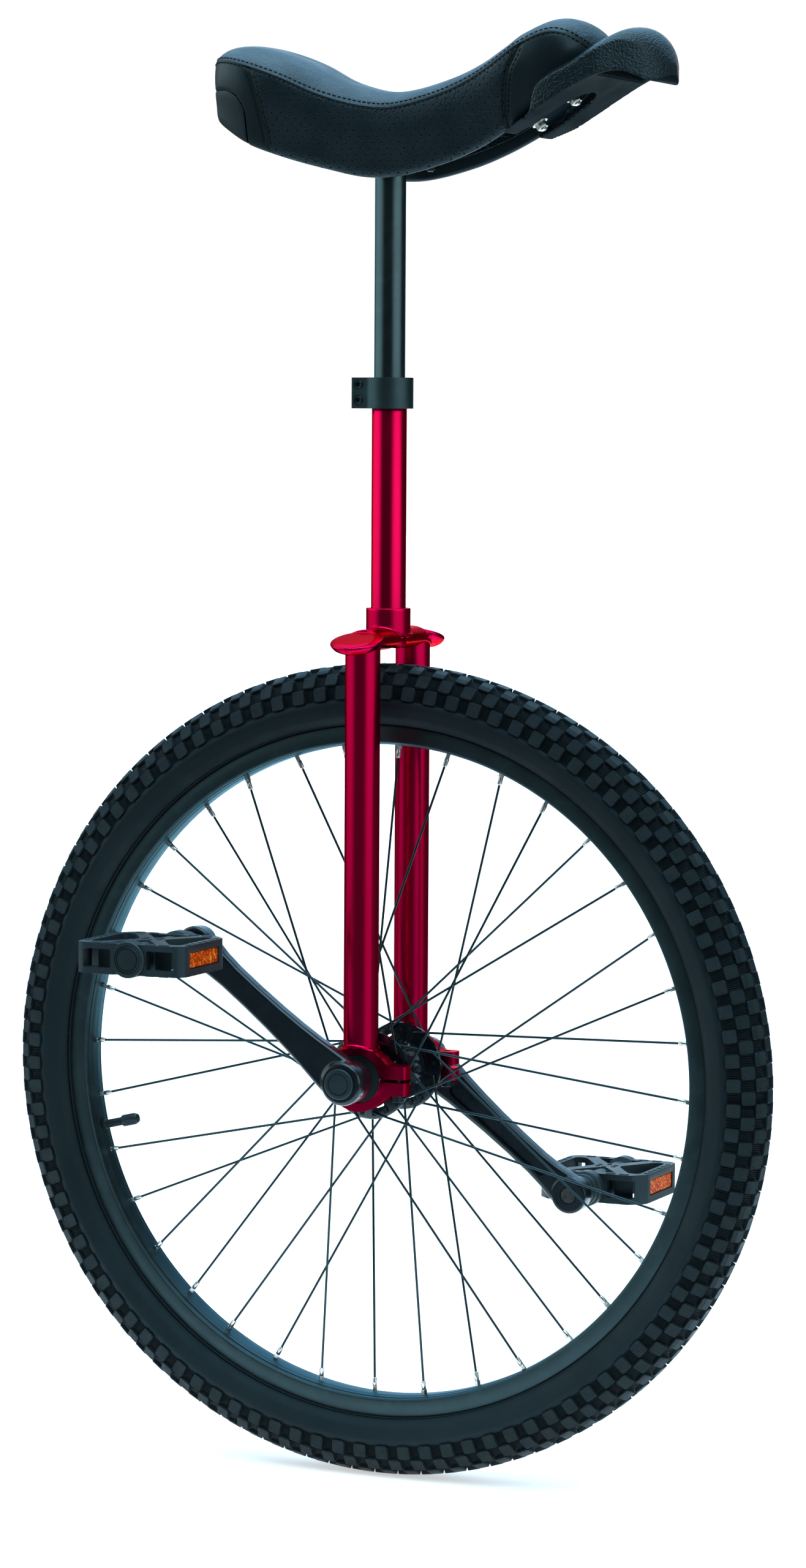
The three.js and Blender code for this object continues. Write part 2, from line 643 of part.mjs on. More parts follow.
function makeClampBolt() {
  const head = -CLAMP.blockHalf;
  const profile = [
    [0, head + 2], [2, head + 2], [2, head + 0.2], [3.6, head + 0.2], [3.6, head + 4.2],
    [2.1, head + 4.2], [2.1, 9.5], [0, 9.5],
  ];
  return solidOf(turned(profile, 12));
}

addPart(unicycle, "seat_clamp", makeClamp(), FINISH.blackAnodised);
for (const [name, height] of Object.entries(CLAMP_BOLT_HEIGHTS)) {
  addPart(unicycle, `clamp_bolt_${name}`, makeClampBolt(), FINISH.blackPaint)
    .position.set(-CLAMP.boltX, 0, height);
}

// ---------------------------------------------------------------- saddle
const COVER = 2; // thickness of the cover
const FOAM_GAP = 0.8; // clearance between the cover's curved inside and the foam
const BASE_LOW = 15.6; // underside of the base plate above the saddle's lower edge
const BASE_HIGH = 21;
const LOWER_EDGE = SADDLE_SECTIONS.map(([x, , , height]) => [x, height]);
const lowerEdge = (x) => valueAt(LOWER_EDGE, x);

/** The saddle's outer form drawn in by inset, from lowerOffset above its lower edge upwards. */
function saddleBlock(inset, lowerOffset) {
  const last = SADDLE_SECTIONS.length - 1;
  const [rear, front] = [SADDLE_SECTIONS[0][0], SADDLE_SECTIONS[last][0]];
  const shrink = 1 - (2 * inset) / (front - rear);
  const middle = (rear + front) / 2;
  return shapedBlock(last, 4, 2, (u, v, w) => {
    const [x, crown, topHalf, lower, lowerHalf] = SADDLE_SECTIONS[Math.round(u * last)];
    const drop = CROWN_SHARE * (crown - lower);
    const bottom = lower + lowerOffset;
    const sideHeight = bottom + w * (crown - drop - inset - bottom);
    const share = (sideHeight - lower) / (crown - drop - lower);
    const half = lowerHalf + share * (topHalf - lowerHalf) - inset;
    const height = bottom + w * (crown - drop * v * v - inset - bottom);
    return [middle + (x - middle) * shrink, v * half, height];
  });
}

/** Strip above the saddle's lower edge between two offsets and two ends. */
function lowerStrip(fromX, toX, low, high, half) {
  const kinks = LOWER_EDGE.map(([x]) => x).filter((x) => x > fromX && x < toX);
  const xs = [fromX, ...kinks, toX];
  const bottom = xs.map((x) => [x, lowerEdge(x) + low]);
  const top = xs.map((x) => [x, lowerEdge(x) + high]).reverse();
  return solidOf(sidePrism([...bottom, ...top], half));
}

const BUMPER = { cornerX: -122, cornerZ: 1113, corner: 22, wall: 3 };

/** Region at the rear that the bumper wraps, with a quarter-round upper front corner. */
function bumperRegion(extra = 0) {
  const radius = BUMPER.corner + extra;
  const arc = Array.from({ length: 5 }, (_, i) => {
    const angle = radians((i * 90) / 4);
    return [BUMPER.cornerX + radius * Math.cos(angle), BUMPER.cornerZ + radius * Math.sin(angle)];
  });
  const outline = [
    [-170, 1080], [BUMPER.cornerX + radius, 1080], ...arc, [-170, BUMPER.cornerZ + radius],
  ];
  return solidOf(sidePrism(outline, 95));
}

/** Wall of the bumper, on the saddle's outer form. */
function bumperShell(extra = 0) {
  const inside = saddleBlock(BUMPER.wall + extra, -60);
  return saddleBlock(-extra, 0).intersect(bumperRegion(extra)).subtract(inside);
}

const PLATE_BOLTS = {
  front_left: [PLATE_BOLT.x, PLATE_BOLT.y],
  front_right: [PLATE_BOLT.x, -PLATE_BOLT.y],
  rear_left: [-PLATE_BOLT.x, PLATE_BOLT.y],
  rear_right: [-PLATE_BOLT.x, -PLATE_BOLT.y],
};
const HANDLE_BOLTS = { front: [159, 1128], rear: [130, 1108.5] };
const HANDLE_BOLT_TILT = 34; // the bolts stand square to the sloping tongue
const BOLT_HOLE_RADIUS = 3.4;

const plateBoltHoles = () => Object.values(PLATE_BOLTS).map(([x, y]) =>
  solidOf(rod(BOLT_HOLE_RADIUS, 1000, 1104, 8, "z").translate(x, y, 0)));

const handleBoltHoles = () => Object.values(HANDLE_BOLTS).map(([x, z]) => {
  const hole = rod(BOLT_HOLE_RADIUS, -12, 23, 8, "z").rotateY(-radians(HANDLE_BOLT_TILT));
  return solidOf(hole.translate(x, 0, z));
});

/** Base plate: wide at the rear, narrow in the middle. */
function makeSaddleBase() {
  const half = [
    [-126, 28], [-112, 46], [-96, 50], [-40, 38], [0, 31], [60, 31], [110, 33], [160, 33], [178, 28],
  ];
  const plan = [...half, ...half.map(([x, y]) => [x, -y]).reverse()];
  const strip = lowerStrip(-128, 180, BASE_LOW, BASE_HIGH, 90);
  const outline = solidOf(plateau(plan, 1000, 1250));
  return cut(strip.intersect(outline), ...plateBoltHoles(), ...handleBoltHoles());
}

const TONGUE = { from: 122, to: 196, low: 0.6, half: 30 };

function makeCover() {
  const tonguePassage = box([180, -TONGUE.half - GAP, 1100], [195, TONGUE.half + GAP, 1166]);
  return cut(saddleBlock(0, 0), saddleBlock(COVER, -40), bumperShell(GAP), solidOf(tonguePassage));
}

function makeFoam() {
  const block = saddleBlock(COVER + FOAM_GAP, BASE_HIGH + GAP);
  return cut(block, bumperShell(GAP), ...plateBoltHoles(), ...handleBoltHoles());
}

/** Block between the handle's upper and lower lines, or down to a level, drawn in by inset. */
function handleBlock(sections, inset, level) {
  const last = sections.length - 1;
  return shapedBlock(last, 4, 1, (u, v, w) => {
    const [x, crown, half, lower] = sections[Math.round(u * last)];
    const top = crown - CROWN_SHARE * (crown - lower) * v * v - inset;
    const bottom = level ?? lower;
    return [x, v * (half - inset), bottom + w * (top - bottom)];
  });
}

/** Hood over the saddle's nose with an arm down each side, a tongue under it and a finger hollow. */
function makeHandle() {
  const wall = 9;
  const hollowSections = HANDLE_SECTIONS.filter(([x]) => x >= 199 && x <= 235);
  const fingerHollow = handleBlock(hollowSections, wall, 1100);
  const underNose = solidOf(sidePrism(
    [[100, 1070], [193, 1070], [193, 1152], [176, 1141], [158, 1128], [116, 1099], [100, 1090]], 44,
  ));
  const { from, to, low, half } = TONGUE;
  const tongue = lowerStrip(from, to, low, BASE_LOW - GAP, half);
  const hood = handleBlock(HANDLE_SECTIONS, 0);
  const shell = cut(hood, fingerHollow, underNose, saddleBlock(-GAP, -3));
  return cut(join(shell, tongue), ...handleBoltHoles());
}

const PLATE_HIGH = BASE_LOW - 0.6;
const PLATE_LOW = PLATE_HIGH - 3;

const makeSeatPlate = () => cut(lowerStrip(-48, 48, PLATE_LOW, PLATE_HIGH, 27), ...plateBoltHoles());

/** Stud with its nut, from under the seat plate up through the base. */
function makePlateBolt(x) {
  const nutTop = Math.min(lowerEdge(x - 6), lowerEdge(x + 6)) + PLATE_LOW - GAP;
  const profile = [
    [0, nutTop - 6], [2.8, nutTop - 6], [2.8, nutTop - 4.5], [5.6, nutTop - 4.5], [5.6, nutTop],
    [2.8, nutTop], [2.8, nutTop + 11], [0, nutTop + 11],
  ];
  return solidOf(turned(profile, 6, "z"));
}

/** Stud with its nut and washer, the washer's top at height 0. */
function makeHandleBolt() {
  const profile = [
    [0, -8], [2.8, -8], [2.8, -6.5], [5.4, -6.5], [5.4, -1.5], [6.8, -1.5], [6.8, 0], [2.8, 0],
    [2.8, 19], [0, 19],
  ];
  return solidOf(turned(profile, 8, "z"));
}

const postTop = lowerEdge(0) + PLATE_LOW - GAP;
const postTube = tube(POST.radius, POST.radius - POST.wall, POST.bottom, postTop, 24, "z");
addPart(unicycle, "seat_post", solidOf(postTube), FINISH.blackPaint);
addPart(unicycle, "seat_plate", makeSeatPlate(), FINISH.blackPaint);
addPart(unicycle, "saddle_base", makeSaddleBase(), FINISH.plastic);
addPart(unicycle, "saddle_foam", makeFoam(), FINISH.foam);
addPart(unicycle, "saddle_cover", makeCover(), FINISH.vinyl);
addPart(unicycle, "front_handle", makeHandle(), FINISH.plastic);
addPart(unicycle, "rear_bumper", bumperShell(), FINISH.plastic);
for (const [name, [x, y]] of Object.entries(PLATE_BOLTS)) {
  addPart(unicycle, `saddle_bolt_${name}`, makePlateBolt(x), FINISH.zinc).position.set(x, y, 0);
}
for (const [name, [x, z]] of Object.entries(HANDLE_BOLTS)) {
  const bolt = addPart(unicycle, `handle_bolt_${name}`, makeHandleBolt(), FINISH.zinc);
  bolt.position.set(x, 0, z);
  bolt.rotation.y = -radians(HANDLE_BOLT_TILT);
}

export default unicycle;
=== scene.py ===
import math
from math import cos, pi, radians, sin

import bmesh
import bpy
from mathutils import Matrix, Vector


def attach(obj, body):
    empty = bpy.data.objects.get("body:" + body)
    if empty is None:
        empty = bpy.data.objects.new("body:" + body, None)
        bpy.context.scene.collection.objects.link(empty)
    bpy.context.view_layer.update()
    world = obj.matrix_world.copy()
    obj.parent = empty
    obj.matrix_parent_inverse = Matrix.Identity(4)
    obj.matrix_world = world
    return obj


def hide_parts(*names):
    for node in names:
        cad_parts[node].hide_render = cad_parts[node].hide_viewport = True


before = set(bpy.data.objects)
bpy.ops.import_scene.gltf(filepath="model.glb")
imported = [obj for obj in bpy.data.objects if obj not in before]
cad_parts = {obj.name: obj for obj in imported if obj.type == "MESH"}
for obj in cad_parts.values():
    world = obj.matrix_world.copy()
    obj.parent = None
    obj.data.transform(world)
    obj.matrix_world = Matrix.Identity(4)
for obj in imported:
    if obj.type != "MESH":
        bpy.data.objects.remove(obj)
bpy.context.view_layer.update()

MM = 0.001
SIDES = {"left": 1, "right": -1}
TYRE_RADIUS = 336
AXLE_HEIGHT = TYRE_RADIUS
AXLE = (0, 0, AXLE_HEIGHT)
CRANK_LENGTH = 170
CRANK_ANGLE = {"left": -38.5, "right": 141.5}


# ================================================================ camera, light and floor
def make_camera():
    """Long lens at the unicycle's right-hand side, ahead of it and above its axle."""
    data = bpy.data.cameras.new("camera")
    data.sensor_width = 36
    data.lens = 107.35
    data.clip_end = 100
    camera = bpy.data.objects.new("camera", data)
    bpy.context.collection.objects.link(camera)
    camera.location = (1.5619, -3.4881, 0.8747)
    forward = Vector((0.014, 0, 0.573)) - camera.location
    tilt = Matrix.Rotation(radians(0.33), 4, "Z")
    turn = forward.to_track_quat("-Z", "Y").to_matrix().to_4x4()
    camera.rotation_euler = (turn @ tilt).to_euler()
    bpy.context.scene.camera = camera


VIEW = (-0.404, 0.911)  # level direction from the camera to the unicycle
LEFT_PANEL = (-0.95, -0.3)
RIGHT_PANEL = (0.98, -0.2)
COOL = (0.8, 1.0, 1.04)
# Light panels: direction, angles at which the light ends and is full, strength, tint.
PANELS = [
    ((*VIEW, 0.0), 25, 12, 1.1, (1, 1, 1)),
    ((*LEFT_PANEL, 0.1), 50, 8, 1.6, COOL),
    ((*RIGHT_PANEL, 0.1), 42, 6, 1.7, COOL),
    ((-0.25, 0.6, 0.76), 48, 12, 1.8, (0.3, 0.66, 1.0)),
    ((0.15, -0.3, 0.94), 36, 8, 3.6, (0.5, 0.82, 1.0)),
]


def make_studio():
    """Dark room: white backdrop, a panel on each side, blue light from behind and above."""
    world = bpy.data.worlds.new("studio")
    bpy.context.scene.world = world
    world.use_nodes = True
    nodes = world.node_tree.nodes
    links = world.node_tree.links
    direction = nodes.new("ShaderNodeTexCoord").outputs["Generated"]

    def panel(towards, outer, inner, strength, tint):
        """Light from a round patch of the room that fades out between two angles."""
        dot = nodes.new("ShaderNodeVectorMath")
        dot.operation = "DOT_PRODUCT"
        dot.inputs[1].default_value = towards
        fade = nodes.new("ShaderNodeMapRange")
        fade.interpolation_type = "SMOOTHSTEP"
        fade.inputs["From Min"].default_value = cos(radians(outer))
        fade.inputs["From Max"].default_value = cos(radians(inner))
        fade.inputs["To Max"].default_value = strength
        light = nodes.new("ShaderNodeBackground")
        light.inputs["Color"].default_value = (*tint, 1)
        links.new(direction, dot.inputs[0])
        links.new(dot.outputs["Value"], fade.inputs["Value"])
        links.new(fade.outputs["Result"], light.inputs["Strength"])
        return light.outputs[0]

    total = nodes["Background"].outputs[0]
    nodes["Background"].inputs["Color"].default_value = (0.85, 1, 1, 1)
    nodes["Background"].inputs["Strength"].default_value = 0.07
    for values in PANELS:
        both = nodes.new("ShaderNodeAddShader")
        links.new(total, both.inputs[0])
        links.new(panel(*values), both.inputs[1])
        total = both.outputs[0]
    links.new(total, nodes["World Output"].inputs["Surface"])
    overhead = bpy.data.lights.new("overhead", "SUN")
    overhead.energy = 1.4
    overhead.angle = radians(100)
    overhead.color = (0.8, 0.95, 1.0)
    lamp = bpy.data.objects.new("overhead", overhead)
    bpy.context.collection.objects.link(lamp)
    bpy.context.scene.view_settings.view_transform = "Standard"


# ================================================================ material tools
COOL_SHEEN = (0.6, 0.87, 1, 1)


class Look:
    """A material on the principled shader, with short calls for its procedural detail."""

    def __init__(self, name, color, roughness, metallic=0.0, coat=0.0, specular=0.5):
        self.material = bpy.data.materials.new(name)
        self.material.use_nodes = True
        self.tree = self.material.node_tree
        self.shader = self.tree.nodes["Principled BSDF"]
        self.color = color
        self.normal = None
        self.shader.inputs["Base Color"].default_value = (*color, 1)
        self.shader.inputs["Roughness"].default_value = roughness
        self.shader.inputs["Metallic"].default_value = metallic
        self.shader.inputs["Coat Weight"].default_value = coat
        self.shader.inputs["Coat Roughness"].default_value = 0.04
        self.shader.inputs["Specular IOR Level"].default_value = specular
        self.place = self.node("ShaderNodeTexCoord").outputs["Object"]
        self.laid = self.node("ShaderNodeUVMap").outputs["UV"]

    def node(self, kind, **settings):
        """New node of a kind, with its settings."""
        node = self.tree.nodes.new(kind)
        for key, value in settings.items():
            setattr(node, key, value)
        return node

    def feed(self, socket, value):
        """Links a socket to another, or gives it a value."""
        if isinstance(value, bpy.types.NodeSocket):
            self.tree.links.new(value, socket)
        else:
            socket.default_value = value

    def math(self, operation, *values):
        """Result of an operation on sockets or numbers."""
        node = self.node("ShaderNodeMath", operation=operation)
        for socket, value in zip(node.inputs, values):
            self.feed(socket, value)
        return node.outputs[0]

    def split(self, vector):
        """The three parts of a vector."""
        node = self.node("ShaderNodeSeparateXYZ")
        self.feed(node.inputs[0], vector)
        return node.outputs

    def noise(self, scale, detail=3.0):
        """Soft random blotches, of a given number to the metre."""
        node = self.node("ShaderNodeTexNoise")
        self.feed(node.inputs["Vector"], self.place)
        node.inputs["Scale"].default_value = scale
        node.inputs["Detail"].default_value = detail
        return node.outputs[0]

    def cells(self, scale, feature="F1"):
        """Distance to the nearest of many scattered points."""
        node = self.node("ShaderNodeTexVoronoi", feature=feature)
        self.feed(node.inputs["Vector"], self.place)
        node.inputs["Scale"].default_value = scale
        return node.outputs["Distance"]

    def spread(self, value, low, high, to_low=0.0, to_high=1.0):
        """Maps a range of values smoothly onto another range."""
        node = self.node("ShaderNodeMapRange", interpolation_type="SMOOTHSTEP")
        self.feed(node.inputs["Value"], value)
        for name, number in zip(
            ("From Min", "From Max", "To Min", "To Max"), (low, high, to_low, to_high)
        ):
            self.feed(node.inputs[name], number)
        return node.outputs["Result"]

    def tint_sheen(self, tint=COOL_SHEEN):
        """Colours what the surface reflects."""
        self.shader.inputs["Specular Tint"].default_value = tint

    def vary_color(self, share, other):
        """Mixes the base colour towards another by a share from 0 to 1."""
        node = self.node("ShaderNodeMix", data_type="RGBA")
        self.feed(node.inputs[0], share)
        current = self.shader.inputs["Base Color"]
        source = current.links[0].from_socket if current.links else (*self.color, 1)
        self.feed(node.inputs[6], source)
        self.feed(node.inputs[7], (*other, 1))
        self.feed(current, node.outputs[2])

    def vary_roughness(self, value, low, high):
        """Lets a noise move the roughness between two values."""
        self.feed(self.shader.inputs["Roughness"], self.spread(value, 0.3, 0.7, low, high))

    def bump(self, height, depth_mm):
        """Adds relief of a given depth to the relief there already is."""
        node = self.node("ShaderNodeBump")
        node.inputs["Strength"].default_value = 1.0
        node.inputs["Distance"].default_value = depth_mm * MM
        self.feed(node.inputs["Height"], height)
        if self.normal:
            self.feed(node.inputs["Normal"], self.normal)
        self.normal = node.outputs[0]
        self.feed(self.shader.inputs["Normal"], self.normal)


# ================================================================ materials
PRICK_ROW = 4.8
PRICK_HALF_PITCH = 3.8


def paper():
    """Floor: glowing white round and behind the object, painted shade elsewhere but for painted
    light below each panel.
    """
    white_half_width, widening, white_front, fade = 0.5, -0.1, 0.3, 0.6  # metres
    look = Look("paper", (0.95, 0.93, 0.92), 0.9, specular=0.1)
    x, y, _ = look.split(look.place)
    nearer = look.math("SUBTRACT", look.math("MULTIPLY", x, -VIEW[0]),
                       look.math("MULTIPLY", y, VIEW[1]))
    aside = look.math("ADD", look.math("MULTIPLY", x, VIEW[1]), look.math("MULTIPLY", y, -VIEW[0]))
    width = look.math("MAXIMUM", look.math("MULTIPLY_ADD", nearer, widening, white_half_width),
                      white_half_width)
    beyond = look.math("SUBTRACT", look.math("ABSOLUTE", aside), width)
    before = look.math("SUBTRACT", nearer, white_front)
    away = look.spread(look.math("MAXIMUM", beyond, before), 0, fade)
    # Painted shade: the floor darkens away from its white patch.
    look.vary_color(away, (0.05, 0.053, 0.055))
    outward = look.node("ShaderNodeVectorMath", operation="NORMALIZE")
    look.feed(outward.inputs[0], look.place)
    east, north, _ = look.split(outward.outputs[0])
    # Painted pools of light: extra glow on the dark part below each side panel.
    glow = 0.0
    for across, along in (LEFT_PANEL, RIGHT_PANEL):
        facing = look.math("ADD", look.math("MULTIPLY", east, across),
                           look.math("MULTIPLY", north, along))
        glow = look.math("ADD", glow, look.spread(facing, 0.72, 0.98, 0, 0.2))
    # Painted light: the floor glows, strongly in the white patch and faintly elsewhere.
    lit = look.spread(away, 0, 1, 0.52, 0.02)
    strength = look.math("ADD", lit, look.math("MULTIPLY", away, glow))
    look.shader.inputs["Emission Color"].default_value = (1, 1, 1, 1)
    look.feed(look.shader.inputs["Emission Strength"], strength)
    return look.material


def rubber_casing():
    """Sidewall and tread floor: fine cross ribs between the blocks, dusty variation, painted shade
    on the tread floor.
    """
    look = Look("rubber_casing", (0.006, 0.0105, 0.0125), 0.6, specular=0.22)
    look.tint_sheen()
    around, across, _ = look.split(look.laid)
    rib = look.math("SINE", look.math("MULTIPLY", around, 2 * pi / 1.7))
    on_tread = look.spread(look.math("ABSOLUTE", across), 44, 45.5, 1, 0)
    look.bump(look.math("MULTIPLY", rib, on_tread), 0.8)
    look.bump(look.noise(900), 0.06)
    look.vary_color(look.spread(look.noise(14), 0.35, 0.7, 0, 0.5), (0.01, 0.0165, 0.019))
    # Painted shade: the tread floor between the blocks is darkened.
    look.vary_color(look.math("MULTIPLY", on_tread, 0.75), (0.001, 0.0015, 0.002))
    look.vary_roughness(look.noise(30), 0.5, 0.66)
    return look.material


def rubber_block():
    """Tread blocks: a fine diamond pattern pressed into the outer rows' faces."""
    look = Look("rubber_block", (0.007, 0.012, 0.014), 0.55, specular=0.34)
    look.tint_sheen()
    around, across, _ = look.split(look.laid)
    pitch = 2 * pi / 1.5
    one = look.math("SINE", look.math("MULTIPLY", look.math("ADD", around, across), pitch))
    two = look.math("SINE", look.math("MULTIPLY", look.math("SUBTRACT", around, across), pitch))
    outer_rows = look.spread(look.math("ABSOLUTE", across), 13, 14, 0, 1)
    diamonds = look.math("MULTIPLY", look.math("MULTIPLY", one, two), outer_rows)
    look.bump(diamonds, 0.45)
    look.bump(look.noise(1400), 0.05)
    look.vary_color(look.spread(look.noise(60), 0.4, 0.7, 0, 0.6), (0.014, 0.022, 0.025))
    look.vary_roughness(look.noise(80), 0.46, 0.62)
    return look.material


def satin_black(name, color, roughness, metallic=0.0, coat=0.0, specular=0.35):
    """Black paint, anodising or rubber with a faint grain; roughness is a range."""
    look = Look(name, color, roughness[0], metallic, coat, specular)
    look.tint_sheen()
    look.vary_roughness(look.noise(45), *roughness)
    lighter = tuple(1.5 * part + 0.001 for part in color)
    look.vary_color(look.spread(look.noise(90), 0.45, 0.8, 0, 0.35), lighter)
    look.bump(look.noise(1200), 0.006)
    return look.material


def red_paint():
    """Metallic red under clear coat, with fine flake and a little orange peel."""
    look = Look("red_paint", (0.72, 0.0006, 0.06), 0.25, metallic=1.0, coat=0.05)
    look.tint_sheen((0.75, 0.05, 0.2, 1))
    flake = look.cells(2600)
    look.vary_color(look.spread(flake, 0.2, 0.8, 0, 0.25), (0.78, 0.001, 0.08))
    look.vary_roughness(look.noise(9, 1), 0.24, 0.27)
    look.bump(look.noise(60, 0), 0.003)
    return look.material


def bare_steel(name, grey):
    """Turned steel, bright, or darkened as painted shade."""
    look = Look(name, (grey, grey, 1.02 * grey), 0.32, metallic=1.0)
    look.vary_roughness(look.noise(260), 0.22, 0.42)
    look.bump(look.noise(900), 0.02)
    return look.material


def bright_zinc():
    """Zinc plating, bright with yellower patches."""
    look = Look("bright_zinc", (0.78, 0.78, 0.76), 0.2, metallic=1.0)
    look.vary_color(look.spread(look.noise(300), 0.4, 0.7, 0, 0.5), (0.62, 0.6, 0.5))
    look.vary_roughness(look.noise(400), 0.12, 0.32)
    return look.material


def moulded(name, color, grain_mm, depth_mm, roughness=(0.4, 0.55)):
    """Moulded plastic with a pebbled or sparked surface of the given grain."""
    look = Look(name, color, roughness[0])
    look.tint_sheen()
    scale = 1 / (grain_mm * MM)
    look.bump(look.spread(look.cells(scale, "SMOOTH_F1"), 0.15, 0.65), depth_mm)
    look.bump(look.noise(scale * 2.2), depth_mm * 0.4)
    look.vary_roughness(look.noise(25), *roughness)
    lighter = tuple(1.5 * part for part in color)
    look.vary_color(look.spread(look.noise(35), 0.4, 0.75, 0, 0.5), lighter)
    return look.material


def amber_reflector():
    """Clear amber over rows of prisms, with painted glints where they catch the light one by one.
    """
    look = Look("amber_reflector", (1.0, 0.13, 0.002), 0.2, specular=0.08)
    prisms = look.cells(480)
    look.vary_color(look.spread(prisms, 0.25, 0.55, 0, 0.85), (0.35, 0.02, 0.0))
    # Painted glints: lighter orange patches where the prisms catch the light.
    look.vary_color(look.spread(look.noise(260, 1), 0.58, 0.72, 0, 0.8), (1.0, 0.34, 0.03))
    look.bump(prisms, 0.3)
    return look.material


def vinyl(name, pricked):
    """Grained saddle vinyl, with staggered prick holes on the side panels, painted black as shade.
    """
    look = Look(name, (0.006, 0.0115, 0.0145), 0.42, specular=0.55)
    look.tint_sheen()
    grain = look.spread(look.cells(520, "SMOOTH_F1"), 0.1, 0.7)
    look.bump(grain, 0.12 if pricked else 0.24)
    look.bump(look.noise(1500), 0.06)
    look.vary_roughness(look.noise(40), 0.36, 0.48)
    look.vary_color(look.spread(look.noise(18), 0.35, 0.7, 0, 0.5), (0.009, 0.016, 0.02))
    if pricked:
        along, down, _ = look.split(look.laid)
        row = look.math("FLOOR", look.math("DIVIDE", down, PRICK_ROW))
        shift = look.math("MULTIPLY", look.math("MODULO", row, 2.0), PRICK_HALF_PITCH)
        x = look.math("PINGPONG", look.math("ADD", along, shift), PRICK_HALF_PITCH)
        y = look.math("SUBTRACT", PRICK_ROW / 2, look.math("PINGPONG", down, PRICK_ROW / 2))
        away = look.math("SQRT", look.math("ADD", look.math("POWER", x, 2.0),
                                           look.math("POWER", y, 2.0)))
        hole = look.spread(away, 0.4, 0.75, 1, 0)
        # Painted shade: each prick hole is coloured black and its gloss taken away.
        look.vary_color(hole, (0.0, 0.0, 0.0))
        look.feed(look.shader.inputs["Specular IOR Level"], look.spread(hole, 0, 1, 0.55, 0.0))
        look.bump(hole, -0.6)
    return look.material


def thread():
    """Black sewing thread."""
    look = Look("thread", (0.0015, 0.002, 0.003), 0.6, specular=0.2)
    look.bump(look.noise(2600), 0.1)
    look.vary_color(look.spread(look.noise(900), 0.4, 0.7, 0, 0.6), (0.004, 0.005, 0.006))
    return look.material


PAPER = paper()
CASING = rubber_casing()
BLOCK = rubber_block()
RED = red_paint()
STEEL = bare_steel("bare_steel", 0.32)
# Painted shade: a darkened copy of the steel for parts that sit in shade, the pedal spindles and
# the nuts under the saddle.
SHADED_STEEL = bare_steel("shaded_steel", 0.07)
ZINC = bright_zinc()
RIM_BLACK = satin_black("rim_black", (0.036, 0.058, 0.064), (0.36, 0.44), metallic=0.9)
SPOKE_BLACK = satin_black("spoke_black", (0.03, 0.045, 0.05), (0.26, 0.38), metallic=0.9)
HUB_BLACK = satin_black("hub_black", (0.003, 0.004, 0.006), (0.1, 0.2), coat=0.7)
CRANK_BLACK = satin_black("crank_black", (0.0045, 0.0075, 0.0095), (0.16, 0.28), coat=0.5)
POST_BLACK = satin_black("post_black", (0.064, 0.098, 0.105), (0.25, 0.3), metallic=1.0)
CLAMP_BLACK = satin_black("clamp_black", (0.05, 0.08, 0.085), (0.36, 0.46), metallic=1.0)
BOLT_BLACK = satin_black("bolt_black", (0.03, 0.045, 0.05), (0.28, 0.4), metallic=0.9)
CAP_PLASTIC = moulded("cap_plastic", (0.008, 0.0125, 0.0145), 0.7, 0.02, (0.38, 0.5))
PEDAL_PLASTIC = moulded("pedal_plastic", (0.011, 0.0175, 0.02), 0.6, 0.03, (0.4, 0.52))
SADDLE_PLASTIC = moulded("saddle_plastic", (0.006, 0.0115, 0.0145), 1.6, 0.32, (0.29, 0.37))
# Painted shade: a darker, bluer, glossless copy of the saddle plastic for the handle's downward
# faces.
SHADED_UNDER_PLASTIC = satin_black("under_plastic_shaded", (0.003, 0.011, 0.014), (0.6, 0.7), specular=0.03)
SMOOTH_PLASTIC = moulded("smooth_plastic", (0.01, 0.016, 0.019), 0.5, 0.02, (0.33, 0.45))
AMBER = amber_reflector()
VINYL = vinyl("vinyl_grained", pricked=False)
PRICKED = vinyl("vinyl_pricked", pricked=True)
SMOOTH_VINYL = satin_black("vinyl_smooth", (0.008, 0.0135, 0.016), (0.34, 0.42), specular=0.45)
THREAD = thread()
BUTYL = satin_black("butyl", (0.008, 0.009, 0.01), (0.5, 0.62))


